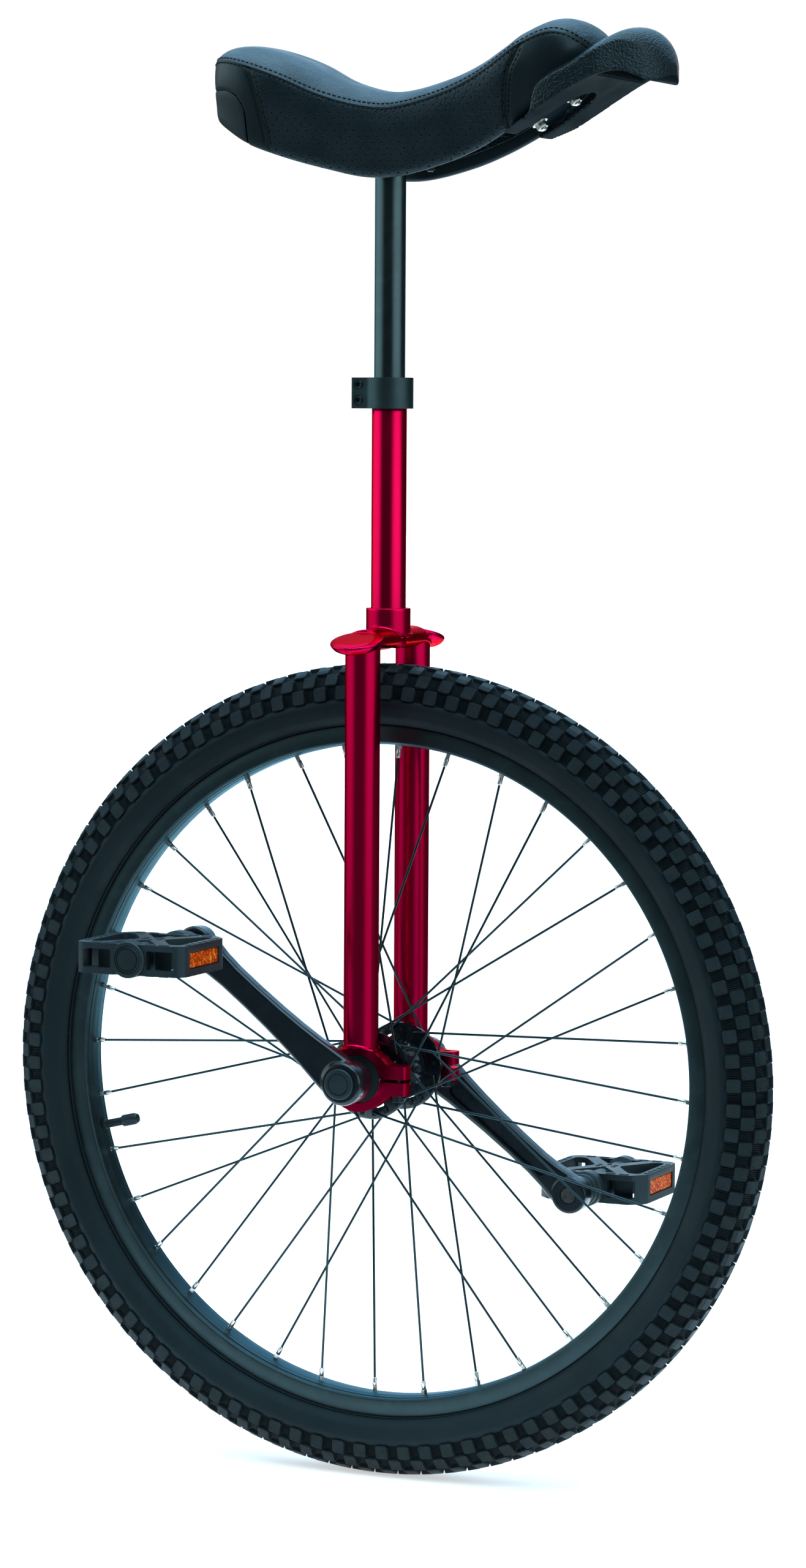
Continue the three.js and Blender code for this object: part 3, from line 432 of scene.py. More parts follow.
# ================================================================ shape tools
class Shape:
    """Points in millimetres and the faces between them, gathered part by part."""

    def __init__(self):
        self.points = []
        self.faces = []
        self.paint = []
        self.laid = []

    def add(self, points, faces, paint=0, laid=None):
        """Adds points and faces; paint picks the material, laid places points on its pattern."""
        start = len(self.points)
        self.points += [Vector(point) for point in points]
        self.laid += laid or [(0.0, 0.0)] * len(points)
        self.faces += [[start + i for i in face] for face in faces]
        self.paint += [paint] * len(faces)
        return self

    def loft(self, rows, wrap=True, ring=False, caps=True, paint=0, laid=None):
        """Skins rows of points; wrap closes each row, ring joins the last row to the first."""
        count = len(rows[0])
        columns = count if wrap else count - 1
        strips = len(rows) if ring else len(rows) - 1
        faces = []
        for i in range(strips):
            below, above = i * count, (i + 1) % len(rows) * count
            for j in range(columns):
                k = (j + 1) % count
                faces.append([below + j, below + k, above + k, above + j])
        if caps and not ring:
            faces.append(list(range(count)))
            faces.append([(len(rows) - 1) * count + j for j in range(count)])
        flat = [spot for row in laid for spot in row] if laid else None
        return self.add([point for row in rows for point in row], faces, paint, flat)

    def turn(self, profile, sides=48, axis="Y", at=(0, 0, 0), ring=False, paint=0):
        """Turns [radius, height] points about an axis; ring joins the profile's two ends."""
        at = Vector(at)
        rows = []
        for radius, height in profile:
            row = []
            for i in range(sides):
                angle = 2 * pi * i / sides
                u, v = radius * cos(angle), radius * sin(angle)
                row.append(at + Vector({"X": (height, u, v), "Y": (v, height, u),
                                        "Z": (u, v, height)}[axis]))
            rows.append(row)
        return self.loft(rows, ring=ring, paint=paint)

    def sweep(self, path, radius, sides=12, ring=False, paint=0):
        """Tube along a path; radius is a number or one number for each point."""
        path = [Vector(point) for point in path]
        radii = radius if isinstance(radius, list) else [radius] * len(path)
        last = len(path) - 1
        side = None
        rows = []
        for i, point in enumerate(path):
            before = path[i - 1] if i or ring else path[0]
            after = path[(i + 1) % len(path)] if i < last or ring else path[last]
            along = (after - before).normalized()
            side = side or along.orthogonal()
            side = (side - along * side.dot(along)).normalized()
            up = along.cross(side)
            rows.append([
                point + radii[i] * (side * cos(2 * pi * j / sides) + up * sin(2 * pi * j / sides))
                for j in range(sides)
            ])
        return self.loft(rows, ring=ring, paint=paint)

    def prism(self, outline, low, high, axis="Y", paint=0):
        """Extrudes an outline along an axis: (x, z) along Y, or (x, y) along Z."""
        def place(u, v, height):
            return (u, height, v) if axis == "Y" else (u, v, height)

        rows = [[place(u, v, height) for u, v in outline] for height in (low, high)]
        return self.loft(rows, paint=paint)

    def box(self, low, high, paint=0):
        """Block between two opposite corners."""
        (x0, y0, z0), (x1, y1, z1) = low, high
        return self.prism([(x0, y0), (x1, y0), (x1, y1), (x0, y1)], z0, z1, "Z", paint)

    def move(self, matrix):
        """Moves every point."""
        self.points = [matrix @ point for point in self.points]
        return self

    def join(self, other):
        """Takes in another shape's points and faces."""
        start = len(self.points)
        self.points += other.points
        self.laid += other.laid
        self.faces += [[start + i for i in face] for face in other.faces]
        self.paint += other.paint
        return self

    def object(self, name, *materials, smooth=38):
        """Blender object of the shape, in metres, with its faces turned outwards."""
        mesh = bpy.data.meshes.new(name)
        mesh.from_pydata([point * MM for point in self.points], [], self.faces)
        for material in materials:
            mesh.materials.append(material)
        mesh.polygons.foreach_set("material_index", self.paint)
        spots = mesh.uv_layers.new(name="laid").uv
        for loop in mesh.loops:
            spots[loop.index].vector = self.laid[loop.vertex_index]
        work = bmesh.new()
        work.from_mesh(mesh)
        bmesh.ops.remove_doubles(work, verts=work.verts, dist=1e-7)
        bmesh.ops.recalc_face_normals(work, faces=work.faces)
        work.to_mesh(mesh)
        work.free()
        thing = bpy.data.objects.new(name, mesh)
        bpy.context.collection.objects.link(thing)
        return shade(thing, smooth)


def shade(thing, angle):
    """Smooth shading, but for edges that turn by more than an angle in degrees."""
    thing.data.shade_smooth()
    thing.data.set_sharp_from_angle(angle=radians(angle))
    return thing


def bevel(thing, width_mm, segments=3, angle=32):
    """Rounds the edges that turn by more than an angle in degrees."""
    rounding = thing.modifiers.new("bevel", "BEVEL")
    rounding.width = width_mm * MM
    rounding.segments = segments
    rounding.limit_method = "ANGLE"
    rounding.angle_limit = radians(angle)
    rounding.miter_outer = "MITER_ARC"
    return thing


def bake(thing):
    """Turns the object's modifiers into its mesh."""
    graph = bpy.context.evaluated_depsgraph_get()
    mesh = bpy.data.meshes.new_from_object(thing.evaluated_get(graph))
    thing.modifiers.clear()
    thing.data = mesh
    return thing


def carve(thing, *cutters, operation="DIFFERENCE"):
    """Cuts the cutters out of the object, or joins them to it, and deletes them."""
    for cutter in cutters:
        step = thing.modifiers.new("carve", "BOOLEAN")
        step.operation = operation
        step.object = cutter
        step.solver = "EXACT"
        step.use_self = True
    bake(thing)
    for cutter in cutters:
        bpy.data.objects.remove(cutter)
    return thing


def soften(thing, voxel_mm, rounds):
    """Remeshes a joined shape evenly and smooths it, for cast and welded forms."""
    remesh = thing.modifiers.new("remesh", "REMESH")
    remesh.mode = "VOXEL"
    remesh.voxel_size = voxel_mm * MM
    smoothing = thing.modifiers.new("smooth", "SMOOTH")
    smoothing.factor = 0.5
    smoothing.iterations = rounds
    bake(thing)
    thing.data.shade_smooth()
    return thing


def settle(thing, body, slot, *nodes):
    """Hands a finished piece to the model: its body and the nodes it stands for; the slot argument
    is not used.
    """
    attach(thing, body)
    if nodes:
        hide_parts(*nodes)
    return thing


def arc(centre, radius, start, end, steps):
    """Points of an arc in a plane, from one angle to another in degrees, ends included."""
    return [
        (centre[0] + radius * cos(radians(start + (end - start) * i / steps)),
         centre[1] + radius * sin(radians(start + (end - start) * i / steps)))
        for i in range(steps + 1)
    ]


def circle(radius, sides, height=0.0):
    """Level circle of points about the Z axis."""
    return [
        (radius * cos(2 * pi * i / sides), radius * sin(2 * pi * i / sides), height)
        for i in range(sides)
    ]


def hexagon(radius, height, sides=24):
    """Level hexagon of points about the Z axis, with a given radius at its corners."""
    row = []
    for i in range(sides):
        angle = 2 * pi * i / sides
        flat = cos(pi / 6) / cos((angle + pi / 6) % (pi / 3) - pi / 6)
        row.append((radius * flat * cos(angle), radius * flat * sin(angle), height))
    return row


def rounded(corners, radius, steps=4):
    """Outline with rounded corners: each corner is replaced by an arc-like curve."""
    outline = []
    count = len(corners)
    for i in range(count):
        corner = Vector(corners[i])
        before = (Vector(corners[i - 1]) - corner)
        after = (Vector(corners[(i + 1) % count]) - corner)
        reach = min(radius, before.length * 0.45, after.length * 0.45)
        start = corner + before.normalized() * reach
        end = corner + after.normalized() * reach
        for k in range(steps + 1):
            t = k / steps
            point = start * (1 - t) ** 2 + corner * 2 * t * (1 - t) + end * t * t
            outline.append((point.x, point.y))
    return outline


def wheel_point(angle, radius, y=0.0):
    """Point about the axle at an angle in degrees from +X towards +Z."""
    return Vector((radius * cos(radians(angle)), y, AXLE_HEIGHT + radius * sin(radians(angle))))


def weld_bead(shape, path, radius=1.5, paint=0):
    """Rippled bead along a closed path."""
    path = [Vector(point) for point in path]
    ripple = [radius * (1 + 0.22 * abs(sin(i * 0.9)) - 0.1) for i in range(len(path))]
    shape.sweep(path, ripple, 8, ring=True, paint=paint)


# ================================================================ wheel: tyre
CASING_MIDDLE = 308
CASING_RADIAL = 28
CASING_HALF_WIDTH = 28.5
BLOCK_HEIGHT = 2.7
BLOCKS_AROUND = 100
BLOCK_HALF_LENGTH = 5.5
BLOCK_HALF_WIDTH = 6.1
BLOCK_CHAMFER = 1.3
BLOCK_LAYERS = [(BLOCK_HEIGHT + 0.8, 1.05), (0.5, 0.99), (0.0, 0.92)]  # depth, spread
BLOCK_PATTERN_SHIFT = 30  # keeps each block's pattern clear of the last one's
TREAD_ROWS = [(0, 0), (26, 1), (52, 0), (78, 1)]  # degrees round the section, stagger
TREAD_EDGE = 91
BEAD_EDGE = 138
ARC_PER_DEGREE = 0.497  # millimetres round the section


def section_point(section, radius_cut=0.0):
    """[radius, y] on the tyre's section at an angle in degrees from its crown."""
    a = radians(section)
    return (CASING_MIDDLE + (CASING_RADIAL - radius_cut) * cos(a),
            (CASING_HALF_WIDTH - radius_cut) * sin(a))


def make_casing():
    """Casing below the tread blocks, with a low rib near each bead."""
    steps = 60
    outer = []
    for i in range(steps + 1):
        section = BEAD_EDGE * (2 * i / steps - 1)
        depth = BLOCK_HEIGHT * max(0.0, min(1.0, (TREAD_EDGE + 5 - abs(section)) / 6))
        rib = 0.5 * math.exp(-(((abs(section) - 122) / 4) ** 2))
        outer.append((*section_point(section, depth - rib), section * ARC_PER_DEGREE))
    bead = [(286.9, 12.2), (280.2, 12.2), (280.2, 9.2)]
    inner = [(306 + 22.5 * cos(radians(a)), 25.5 * sin(radians(a))) for a in range(138, -139, -12)]
    tail = [(radius, -y) for radius, y in reversed(bead)]
    profile = outer + [(*point, 60) for point in bead + inner + tail]
    sides = 240
    rows = []
    laid = []
    for i in range(sides):
        angle = 360 * i / sides
        rows.append([wheel_point(angle, radius, y) for radius, y, _ in profile])
        laid.append([(2 * pi * TYRE_RADIUS * i / sides, across) for _, _, across in profile])
    shape = Shape().loft(rows, ring=True, laid=laid)
    settle(shape.object("tyre_casing", CASING, smooth=50), "wheel", "tyre_rubber", "tyre")


def make_tread():
    """Seven staggered rows of eight-sided blocks with drafted sides."""
    half_length, half_width, chamfer = BLOCK_HALF_LENGTH, BLOCK_HALF_WIDTH, BLOCK_CHAMFER
    outline = [
        (half_length, half_width - chamfer), (half_length - chamfer, half_width),
        (chamfer - half_length, half_width), (-half_length, half_width - chamfer),
        (-half_length, chamfer - half_width), (chamfer - half_length, -half_width),
        (half_length - chamfer, -half_width), (half_length, chamfer - half_width),
    ]
    rows = {section * sign: stagger for section, stagger in TREAD_ROWS for sign in (1, -1)}
    shape = Shape()
    step = 360 / BLOCKS_AROUND
    for section, stagger in rows.items():
        middle = section * ARC_PER_DEGREE
        for k in range(BLOCKS_AROUND):
            around = (k + stagger / 2) * step
            layers, laid = [], []
            for depth, grow in BLOCK_LAYERS:
                layer = []
                for u, v in outline:
                    radius, y = section_point(section + v * grow / ARC_PER_DEGREE, depth)
                    turn = math.degrees(u * grow / radius)
                    layer.append(wheel_point(around + turn, radius, y))
                layers.append(layer)
                laid.append([(u + BLOCK_PATTERN_SHIFT * k, middle + v) for u, v in outline])
            shape.loft(layers, laid=laid)
    settle(shape.object("tyre_tread", BLOCK, smooth=30), "wheel", "tyre_rubber")


# ================================================================ wheel: rim, tube and valve
RIM_BED = 269.5
VALVE_ANGLE = 193.5


def make_rim():
    """Box rim with flat side walls, a hooked edge, a grooved bed and a raised middle band."""
    half = [
        (286, 13.2), (285.6, 14.6), (284.8, 15), (273.4, 15), (272.4, 14.8), (271.5, 13.9),
        (270.8, 12.2), (270.9, 11.6), (271.6, 11.2), (271.6, 10.7), (270.4, 10.2),
        (270.0, 7.6), (269.9, 6.9), (RIM_BED, 6.3), (RIM_BED, 2.5),
    ]
    inner = [(275, 6.5), (279.9, 8.8), (279.9, 12.5), (285.6, 12.5), (286, 12.8)]
    mirrored = [(radius, -y) for radius, y in reversed(half)]
    profile = half + mirrored + [(r, -y) for r, y in reversed(inner)] + inner
    shape = Shape().turn(profile, 240, "Y", AXLE, ring=True)
    settle(shape.object("rim_shell", RIM_BLACK, smooth=35), "wheel", "rim_black", "rim")


def along_radius(shape, angle):
    """Moves a shape drawn along +X from the axle to an angle round the wheel."""
    turn = Matrix.Rotation(-radians(angle), 4, "Y")
    return shape.move(Matrix.Translation(AXLE) @ turn)


def make_valve():
    """Tube with its moulded-in valve stem, and the knurled cap on the stem."""
    tube = Shape()
    section = [(307 + 17 * cos(a), 17.5 * sin(a)) for a in (2 * pi * i / 24 for i in range(24))]
    tube.turn(section, 96, "Y", AXLE, ring=True)
    stem = Shape()
    profile = [(4.1, 268.8), (4.1, 266.5), (3.5, 265.8), (3.5, 251.5)]
    profile += [(3.15 + 0.25 * (i % 2), 251 - 0.45 * i) for i in range(26)]
    stem.turn(profile, 24, "X")
    tube.join(along_radius(stem, VALVE_ANGLE))
    settle(tube.object("tube_and_valve", BUTYL), "wheel", "butyl", "inner_tube")
    cap = Shape()
    cap.turn([(3.9, 249.5), (4.9, 249.5), (5, 249), (5, 246.5), (4.6, 246), (4.6, 240),
              (4.4, 237.2), (3.6, 235.6), (1.5, 235)], 32, "X")
    for i in range(16):
        rib = Shape()
        side = Matrix.Rotation(2 * pi * i / 16, 4, "X")
        rib.sweep([(246, 0, 4.6), (240, 0, 4.6), (237.6, 0, 4.4)], 0.32, 6)
        cap.join(rib.move(side))
    settle(along_radius(cap, VALVE_ANGLE).object("valve_cap_knurled", CAP_PLASTIC),
           "wheel", "cap_plastic", "valve_cap")


# ================================================================ wheel: hub
FLANGE_MIDDLE = 31
FLANGE_RADIUS = 36.5
FLANGE_HALF = 1.5
SPOKE_CIRCLE = 31
SPOKES_PER_SIDE = 18
FIRST_NIPPLE = {"right": 198, "left": 188}  # degrees round the wheel
SPOKE_SWEEP = 60  # degrees between a spoke's two ends
NIPPLE_LENGTH = 11.8


def spoke_ends(side, k):
    """(nipple angle, hub angle, leading) of spoke k; leading spokes leave the outer face."""
    nipple = FIRST_NIPPLE[side] + 20 * k
    leading = k % 2 == (1 if side == "right" else 0)
    return nipple, nipple - (SPOKE_SWEEP if leading else -SPOKE_SWEEP), leading


def make_hub_barrel():
    """Turned barrel, bored for the axle and flaring out to its flanges."""
    barrel = Shape()
    half = [(14.4, 0), (14.6, 12), (15.6, 18), (18, 24), (20.5, 28), (22, 29.9), (22, 32.1),
            (18.5, 33), (15.5, 34.2), (13.6, 36.5), (11.8, 41.4), (11.2, 42)]
    bore = [(8.7, 42), (8.7, -42)]
    barrel.turn([(r, -y) for r, y in reversed(half[1:])] + half + bore, 64, "Y", AXLE,
                ring=True)
    settle(barrel.object("hub_barrel", HUB_BLACK, smooth=30), "wheel", "hub_black", "hub_shell")


def make_flange(name):
    """Thin disc with a hole for each spoke and four oval windows."""
    middle = SIDES[name] * FLANGE_MIDDLE
    half = [(15, 1.5), (34.6, 1.5), (36, 1.1), (FLANGE_RADIUS, 0.3)]
    profile = [(radius, middle - y) for radius, y in half]
    profile += [(radius, middle + y) for radius, y in reversed(half)]
    disc = Shape().turn(profile, 96, "Y", AXLE, ring=True)
    flange = disc.object(f"hub_flange_{name}", HUB_BLACK, smooth=30)
    holes = Shape()
    for k in range(SPOKES_PER_SIDE):
        _, angle, _ = spoke_ends(name, k)
        holes.turn([(1.35, -3), (1.35, 3)], 12, "Y", wheel_point(angle, SPOKE_CIRCLE, middle))
    oval = arc((26, 3), 1.5, 0, 180, 8) + arc((26, -3), 1.5, 180, 360, 8)
    for k in range(4):
        window = Shape().prism(oval, middle - 3, middle + 3)
        holes.join(along_radius(window, 90 * k + 20))
    carve(flange, holes.object("cutter"))
    shade(flange, 30)
    settle(flange, "wheel", "hub_black")


# ================================================================ wheel: spokes
def make_spoke(side, k):
    """Wire hooked through its flange and running to its nipple in the rim."""
    nipple_angle, hub_angle, leading = spoke_ends(side, k)
    sign = SIDES[side]
    out = sign if leading else -sign
    hole = wheel_point(hub_angle, SPOKE_CIRCLE, sign * FLANGE_MIDDLE)
    rim_end = wheel_point(nipple_angle, RIM_BED + 0.4, sign * 2.5)
    face = Vector((0, out, 0))
    leave = hole + face * (FLANGE_HALF + 1.25)
    along = (rim_end - leave).normalized()
    straight = [leave + along * reach for reach in (2.2, 4.5, 20)]
    path = [hole - face * (FLANGE_HALF + 0.7), hole, hole + face * (FLANGE_HALF + 0.1),
            hole + face * (FLANGE_HALF + 0.8) + along * 0.5, *straight, rim_end - along * 9]
    wire = Shape().sweep(path, 1.0, 10)
    head = hole - face * (FLANGE_HALF + 0.2)
    wire.turn([(1.9, 0), (1.9, 0.5), (1.3, 1.1)], 12, "Y", head - face * 0.9 if out > 0 else head)
    spoke = wire.object(f"spoke_{side}_{k + 1:02d}", SPOKE_BLACK)
    nodes = (f"spokes_{side}",) if k == 0 else ()
    settle(spoke, "wheel", "spoke_black", *nodes)
    make_nipple(f"nipple_{side}_{k + 1:02d}", rim_end, along)


def make_nipple(label, rim_end, along):
    """Round nipple with a squared end, in line with its spoke."""
    profile = [(1.15, 0), (1.75, 0.5), (1.95, 1.4), (1.95, 6.8), (1.6, 7.4), (1.6, NIPPLE_LENGTH)]
    nipple = Shape().turn(profile, 16, "Z")
    nipple.box((-1.65, -1.65, 7.2), (1.65, 1.65, 11.6))
    turn = along.to_track_quat("Z", "Y").to_matrix().to_4x4()
    nipple.move(Matrix.Translation(rim_end - along * NIPPLE_LENGTH) @ turn)
    settle(nipple.object(label, ZINC, smooth=30), "wheel", "spoke_black")


# ================================================================ cranks
def outboard(name, shape, angle=0.0, at=AXLE):
    """Places a shape drawn with its outer end towards +Y on one side of the wheel."""
    mirror = Matrix.Diagonal((1, SIDES[name], 1, 1))
    turn = Matrix.Rotation(-radians(angle), 4, "Y")
    return shape.move(Matrix.Translation(at) @ turn @ mirror)


def crank_outline():
    """Side view of the crank: round boss, long taper to a waist, and the pedal spindle's eye."""
    top = [(14, 17.2), (26, 15.8), (40, 14.1), (58, 12.5), (80, 11.3), (105, 10.7), (130, 10.8),
           (146, 12), (158, 14.1)]
    eye = arc((CRANK_LENGTH, 0), 15.5, 98, -98, 24)
    boss = arc((0, 0), 18, -90, -270, 24)
    return boss + top + eye + [(x, -z) for x, z in reversed(top)]


def make_crank(name):
    """Cast arm flowing into its boss and eye, with a channel in its inner face."""
    angle = CRANK_ANGLE[name]
    arm = Shape().prism(crank_outline(), 74.4, 87.6)
    boss, eye, cutters = Shape(), Shape(), Shape()
    boss.turn([(6, 64), (15.6, 64), (17, 65), (17.8, 70), (18.2, 80), (18.2, 87), (17.4, 89.6),
               (15.6, 91), (6, 91)], 64)
    eye.turn([(4, 73.4), (14.6, 73.4), (15.4, 74.4), (15.4, 87.6), (13.6, 88.9), (4, 88.9)], 48,
             "Y", (CRANK_LENGTH, 0, 0))
    arm, boss, eye = (outboard(name, part, angle).object(f"crank_{name}_cast", CRANK_BLACK)
                      for part in (arm, boss, eye))
    bevel(arm, 3.4, 5)
    bake(arm)
    carve(arm, boss, eye, operation="UNION")
    soften(arm, 0.7, 7)
    channel = arc((138, 0), 5.2, -90, 90, 8) + arc((40, 0), 6.4, 90, 270, 8)
    cutters.prism(channel, 70, 77.5)
    cutters.turn([(7.3, 60), (7.3, 95)], 32, "Y", (CRANK_LENGTH, 0, 0))
    cutters.turn([(11.4, 84.3), (11.4, 95)], 40)
    cutters.turn([(6.8, 60), (6.8, 86)], 24)
    carve(arm, outboard(name, cutters, angle).object("cutter"))
    shade(arm, 40)
    settle(arm, "wheel", "crank_black", f"crank_{name}")


def make_dust_cap(name):
    """Round cap with a dished middle over the crank's bolt."""
    cap = Shape()
    cap.turn([(10.2, 90.2), (10.2, 91.2), (12.5, 91.3), (12.7, 92), (12.6, 93.3), (12, 94),
              (11, 94.3), (9.2, 94.3), (8.8, 93.6), (8.2, 93.6), (7.9, 94.2), (2, 94.4)], 64)
    settle(outboard(name, cap).object(f"dust_cap_{name}_disc", CAP_PLASTIC, smooth=30),
           "wheel", "cap_plastic", f"dust_cap_{name}")


def make_spindle(name):
    """Pedal spindle through the crank's eye, with two flats for a spanner on its collar."""
    spindle = Shape()
    spindle.turn([(3, 73.6), (6.6, 73.6), (6.9, 74.2), (6.9, 88.6), (8.6, 88.9), (9.1, 89.4),
                  (9.1, 93.4), (8.6, 94.2), (6.4, 95.2), (6, 96), (4.5, 190), (2, 190)], 40)
    flats = Shape()
    for x in (-12.6, 7.6):
        flats.box((x, 90, -12), (x + 5, 93.4, 12))
    angle = CRANK_ANGLE[name]
    at = wheel_point(angle, CRANK_LENGTH)
    # The spindle gets the steel darkened as painted shade.
    spindle = outboard(name, spindle, angle, at).object(
        f"pedal_axle_{name}", SHADED_STEEL, smooth=30)
    carve(spindle, outboard(name, flats, angle, at).object("cutter"))
    settle(spindle, "wheel", "bare_steel", f"pedal_spindle_{name}")


# ================================================================ pedals
PEDAL_IN, PEDAL_OUT = 120, 205
PEDAL_HALF = 48
PEDAL_TOP = 12.4


def pedal_openings():
    """Top views of the four openings between the cage and its crossed web."""
    return [
        rounded([(40.5, 131.5), (40.5, 193.5), (31, 193.5), (10.5, 162.5), (31, 131.5)], 6),
        rounded([(-40.5, 131.5), (-31, 131.5), (-10.5, 162.5), (-31, 193.5), (-40.5, 193.5)], 6),
        rounded([(-21, 197), (21, 197), (3, 172.5), (-3, 172.5)], 4),
        rounded([(-21, 128), (-3, 152.5), (3, 152.5), (21, 128)], 4),
    ]


def pedal_piece(name, shape, label, *materials, smooth=38):
    """Object of a shape drawn round the spindle's line, placed at one side's pedal."""
    at = wheel_point(CRANK_ANGLE[name], CRANK_LENGTH)
    return outboard(name, shape, 0, at).object(label, *materials, smooth=smooth)


def make_pedal_cage(name):
    """Cage with a crossed web over the barrel, side windows and reflector pockets."""
    plan = rounded([
        (-PEDAL_HALF, 131), (-37, PEDAL_IN), (37, PEDAL_IN), (PEDAL_HALF, 131),
        (PEDAL_HALF, 199), (42, PEDAL_OUT), (-42, PEDAL_OUT), (-PEDAL_HALF, 199),
    ], 3, 3)
    cage = Shape().prism(plan, -PEDAL_TOP, PEDAL_TOP, "Z")
    body = pedal_piece(name, cage, f"pedal_{name}_cage", PEDAL_PLASTIC, smooth=35)
    cutters = [Shape().prism(opening, -20, 20, "Z") for opening in pedal_openings()]
    for end in (-1, 1):
        inner, outer = sorted((end * 16, end * 40))
        window = rounded([(inner, -7.6), (outer, -7.6), (outer, 7.6), (inner, 7.6)], 1.2)
        cutters += [Shape().prism(window, low, high) for low, high in ((110, 131.5), (193, 215))]
        inner, outer = sorted((end * (PEDAL_HALF - 4.4), end * (PEDAL_HALF + 4)))
        cutters.append(Shape().box((inner, 139, -6.6), (outer, 191, 6.6)))
    carve(body, *[pedal_piece(name, cutter, "cutter") for cutter in cutters])
    shade(body, 35)
    bevel(body, 0.9, 2)
    settle(body, f"pedal_{name}", "pedal_plastic", f"pedal_body_{name}")


def make_pedal_barrel(name):
    """Grooved barrel round the spindle, and the cap in its outer end."""
    barrel = Shape()
    barrel.turn([(9.2, 97), (11.6, 97), (12.2, 97.6), (12.2, 100.4), (11.4, 101), (11.4, 102.6),
                 (12.6, 103.2), (13.2, 104), (13.2, 107), (12.4, 107.6), (12.4, 109.2),
                 (14, 110), (14.8, 111), (14.8, 121), (11.5, 123), (11.5, 194), (14.8, 196),
                 (14.8, 206), (14.1, 207), (11.2, 207), (11.2, 196), (9.2, 196)], 56, ring=True)
    barrel = pedal_piece(name, barrel, f"pedal_barrel_{name}", PEDAL_PLASTIC, smooth=32)
    settle(barrel, f"pedal_{name}", "pedal_plastic")
    cap = Shape()
    cap.turn([(10.8, 197), (10.8, 206.6), (10.3, 207.3), (9.5, 207.3), (9.1, 206.7), (8.7, 206.7),
              (8.3, 207.5), (3, 207.9)], 56)
    cap = pedal_piece(name, cap, f"pedal_end_cap_{name}", CAP_PLASTIC, smooth=30)
    settle(cap, f"pedal_{name}", "pedal_plastic", f"pedal_cap_{name}")


def make_pedal_grips(name):
    """Small raised blocks on both faces of the pedal."""
    grips = Shape()
    for level in (-1, 1):
        low, high = sorted((level * (PEDAL_TOP - 0.4), level * (PEDAL_TOP + 0.6)))
        for x in (-30, -18, 18, 30):
            for y in (122.4, 199.4):
                grips.box((x - 4, y, low), (x + 4, y + 3.4, high))
        for y in (138, 148, 158, 168, 178, 188):
            for x in (-46.4, 43.4):
                grips.box((x, y - 2.4, low), (x + 3, y + 2.4, high))
        for x, y in ((-7, 158), (0, 154.4), (7, 158), (-7, 164), (0, 167.6), (7, 164)):
            grips.box((x - 1.8, y - 1, low), (x + 1.8, y + 1, high))
    grips = pedal_piece(name, grips, f"pedal_grips_{name}", PEDAL_PLASTIC)
    bevel(grips, 0.35, 2)
    settle(grips, f"pedal_{name}", "pedal_plastic")


def make_reflectors(name):
    """Amber lenses in the pockets at the pedal's front and rear."""
    for end, label in ((1, "front"), (-1, "rear")):
        inner, outer = sorted((end * (PEDAL_HALF - 4.1), end * (PEDAL_HALF - 0.8)))
        lens = Shape().box((inner, 139.4, -6.2), (outer, 190.6, 6.2))
        lens = pedal_piece(name, lens, f"lens_{label}_{name}", AMBER)
        bevel(lens, 0.8, 3)
        settle(lens, f"pedal_{name}", "reflector_amber", f"reflector_{label}_{name}")


# ================================================================ frame
LEG_MIDDLE = 50
LEG_RADIUS = 14.3
LEG_BORE = 12.5
LEG_FOOT = 27.4  # the feet end just outside the holders' rings
PAD = {"radius": 22, "half": 4.5, "y": 61, "z": 690, "tilt": 16}


def pad_height(y):
    """Height of a pad's middle plane at a distance from the centre line."""
    return PAD["z"] - (abs(y) - PAD["y"]) * math.tan(radians(PAD["tilt"]))


def make_leg(name):
    """Leg tube, shaped at its foot to the bearing holder and at its top to the pad."""
    side = SIDES[name]
    rows = []
    outside = [(LEG_RADIUS, i / 6) for i in range(7)]
    for radius, share in ((LEG_BORE, 0), *outside, (LEG_BORE, 1)):
        row = []
        for x, across, _ in circle(radius, 64):
            y = side * (LEG_MIDDLE + across)
            foot = AXLE_HEIGHT + math.sqrt(LEG_FOOT ** 2 - x * x)
            top = pad_height(y) - PAD["half"] - 0.5
            row.append((x, y, foot + (top - foot) * share))
        rows.append(row)
    tube = Shape().loft(rows, ring=True).object(f"leg_tube_{name}", RED, smooth=30)
    settle(tube, "frame", "frame_red", f"leg_{name}")
    beads = Shape()
    foot, top = [], []
    for x, across, _ in circle(LEG_RADIUS + 0.3, 72):
        y = side * (LEG_MIDDLE + across)
        foot.append((x, y, AXLE_HEIGHT + math.sqrt((LEG_FOOT + 0.2) ** 2 - x * x)))
        top.append((x, y, pad_height(y) - PAD["half"] - 0.4))
    weld_bead(beads, foot, 1.5)
    weld_bead(beads, top, 1.3)
    settle(beads.object(f"leg_welds_{name}", RED), "frame", "frame_red")


CROWN = {"height": 692, "reach": 48, "half_length": 15, "half_height": 9, "sleeve": 18.3,
         "bore": 14.7}


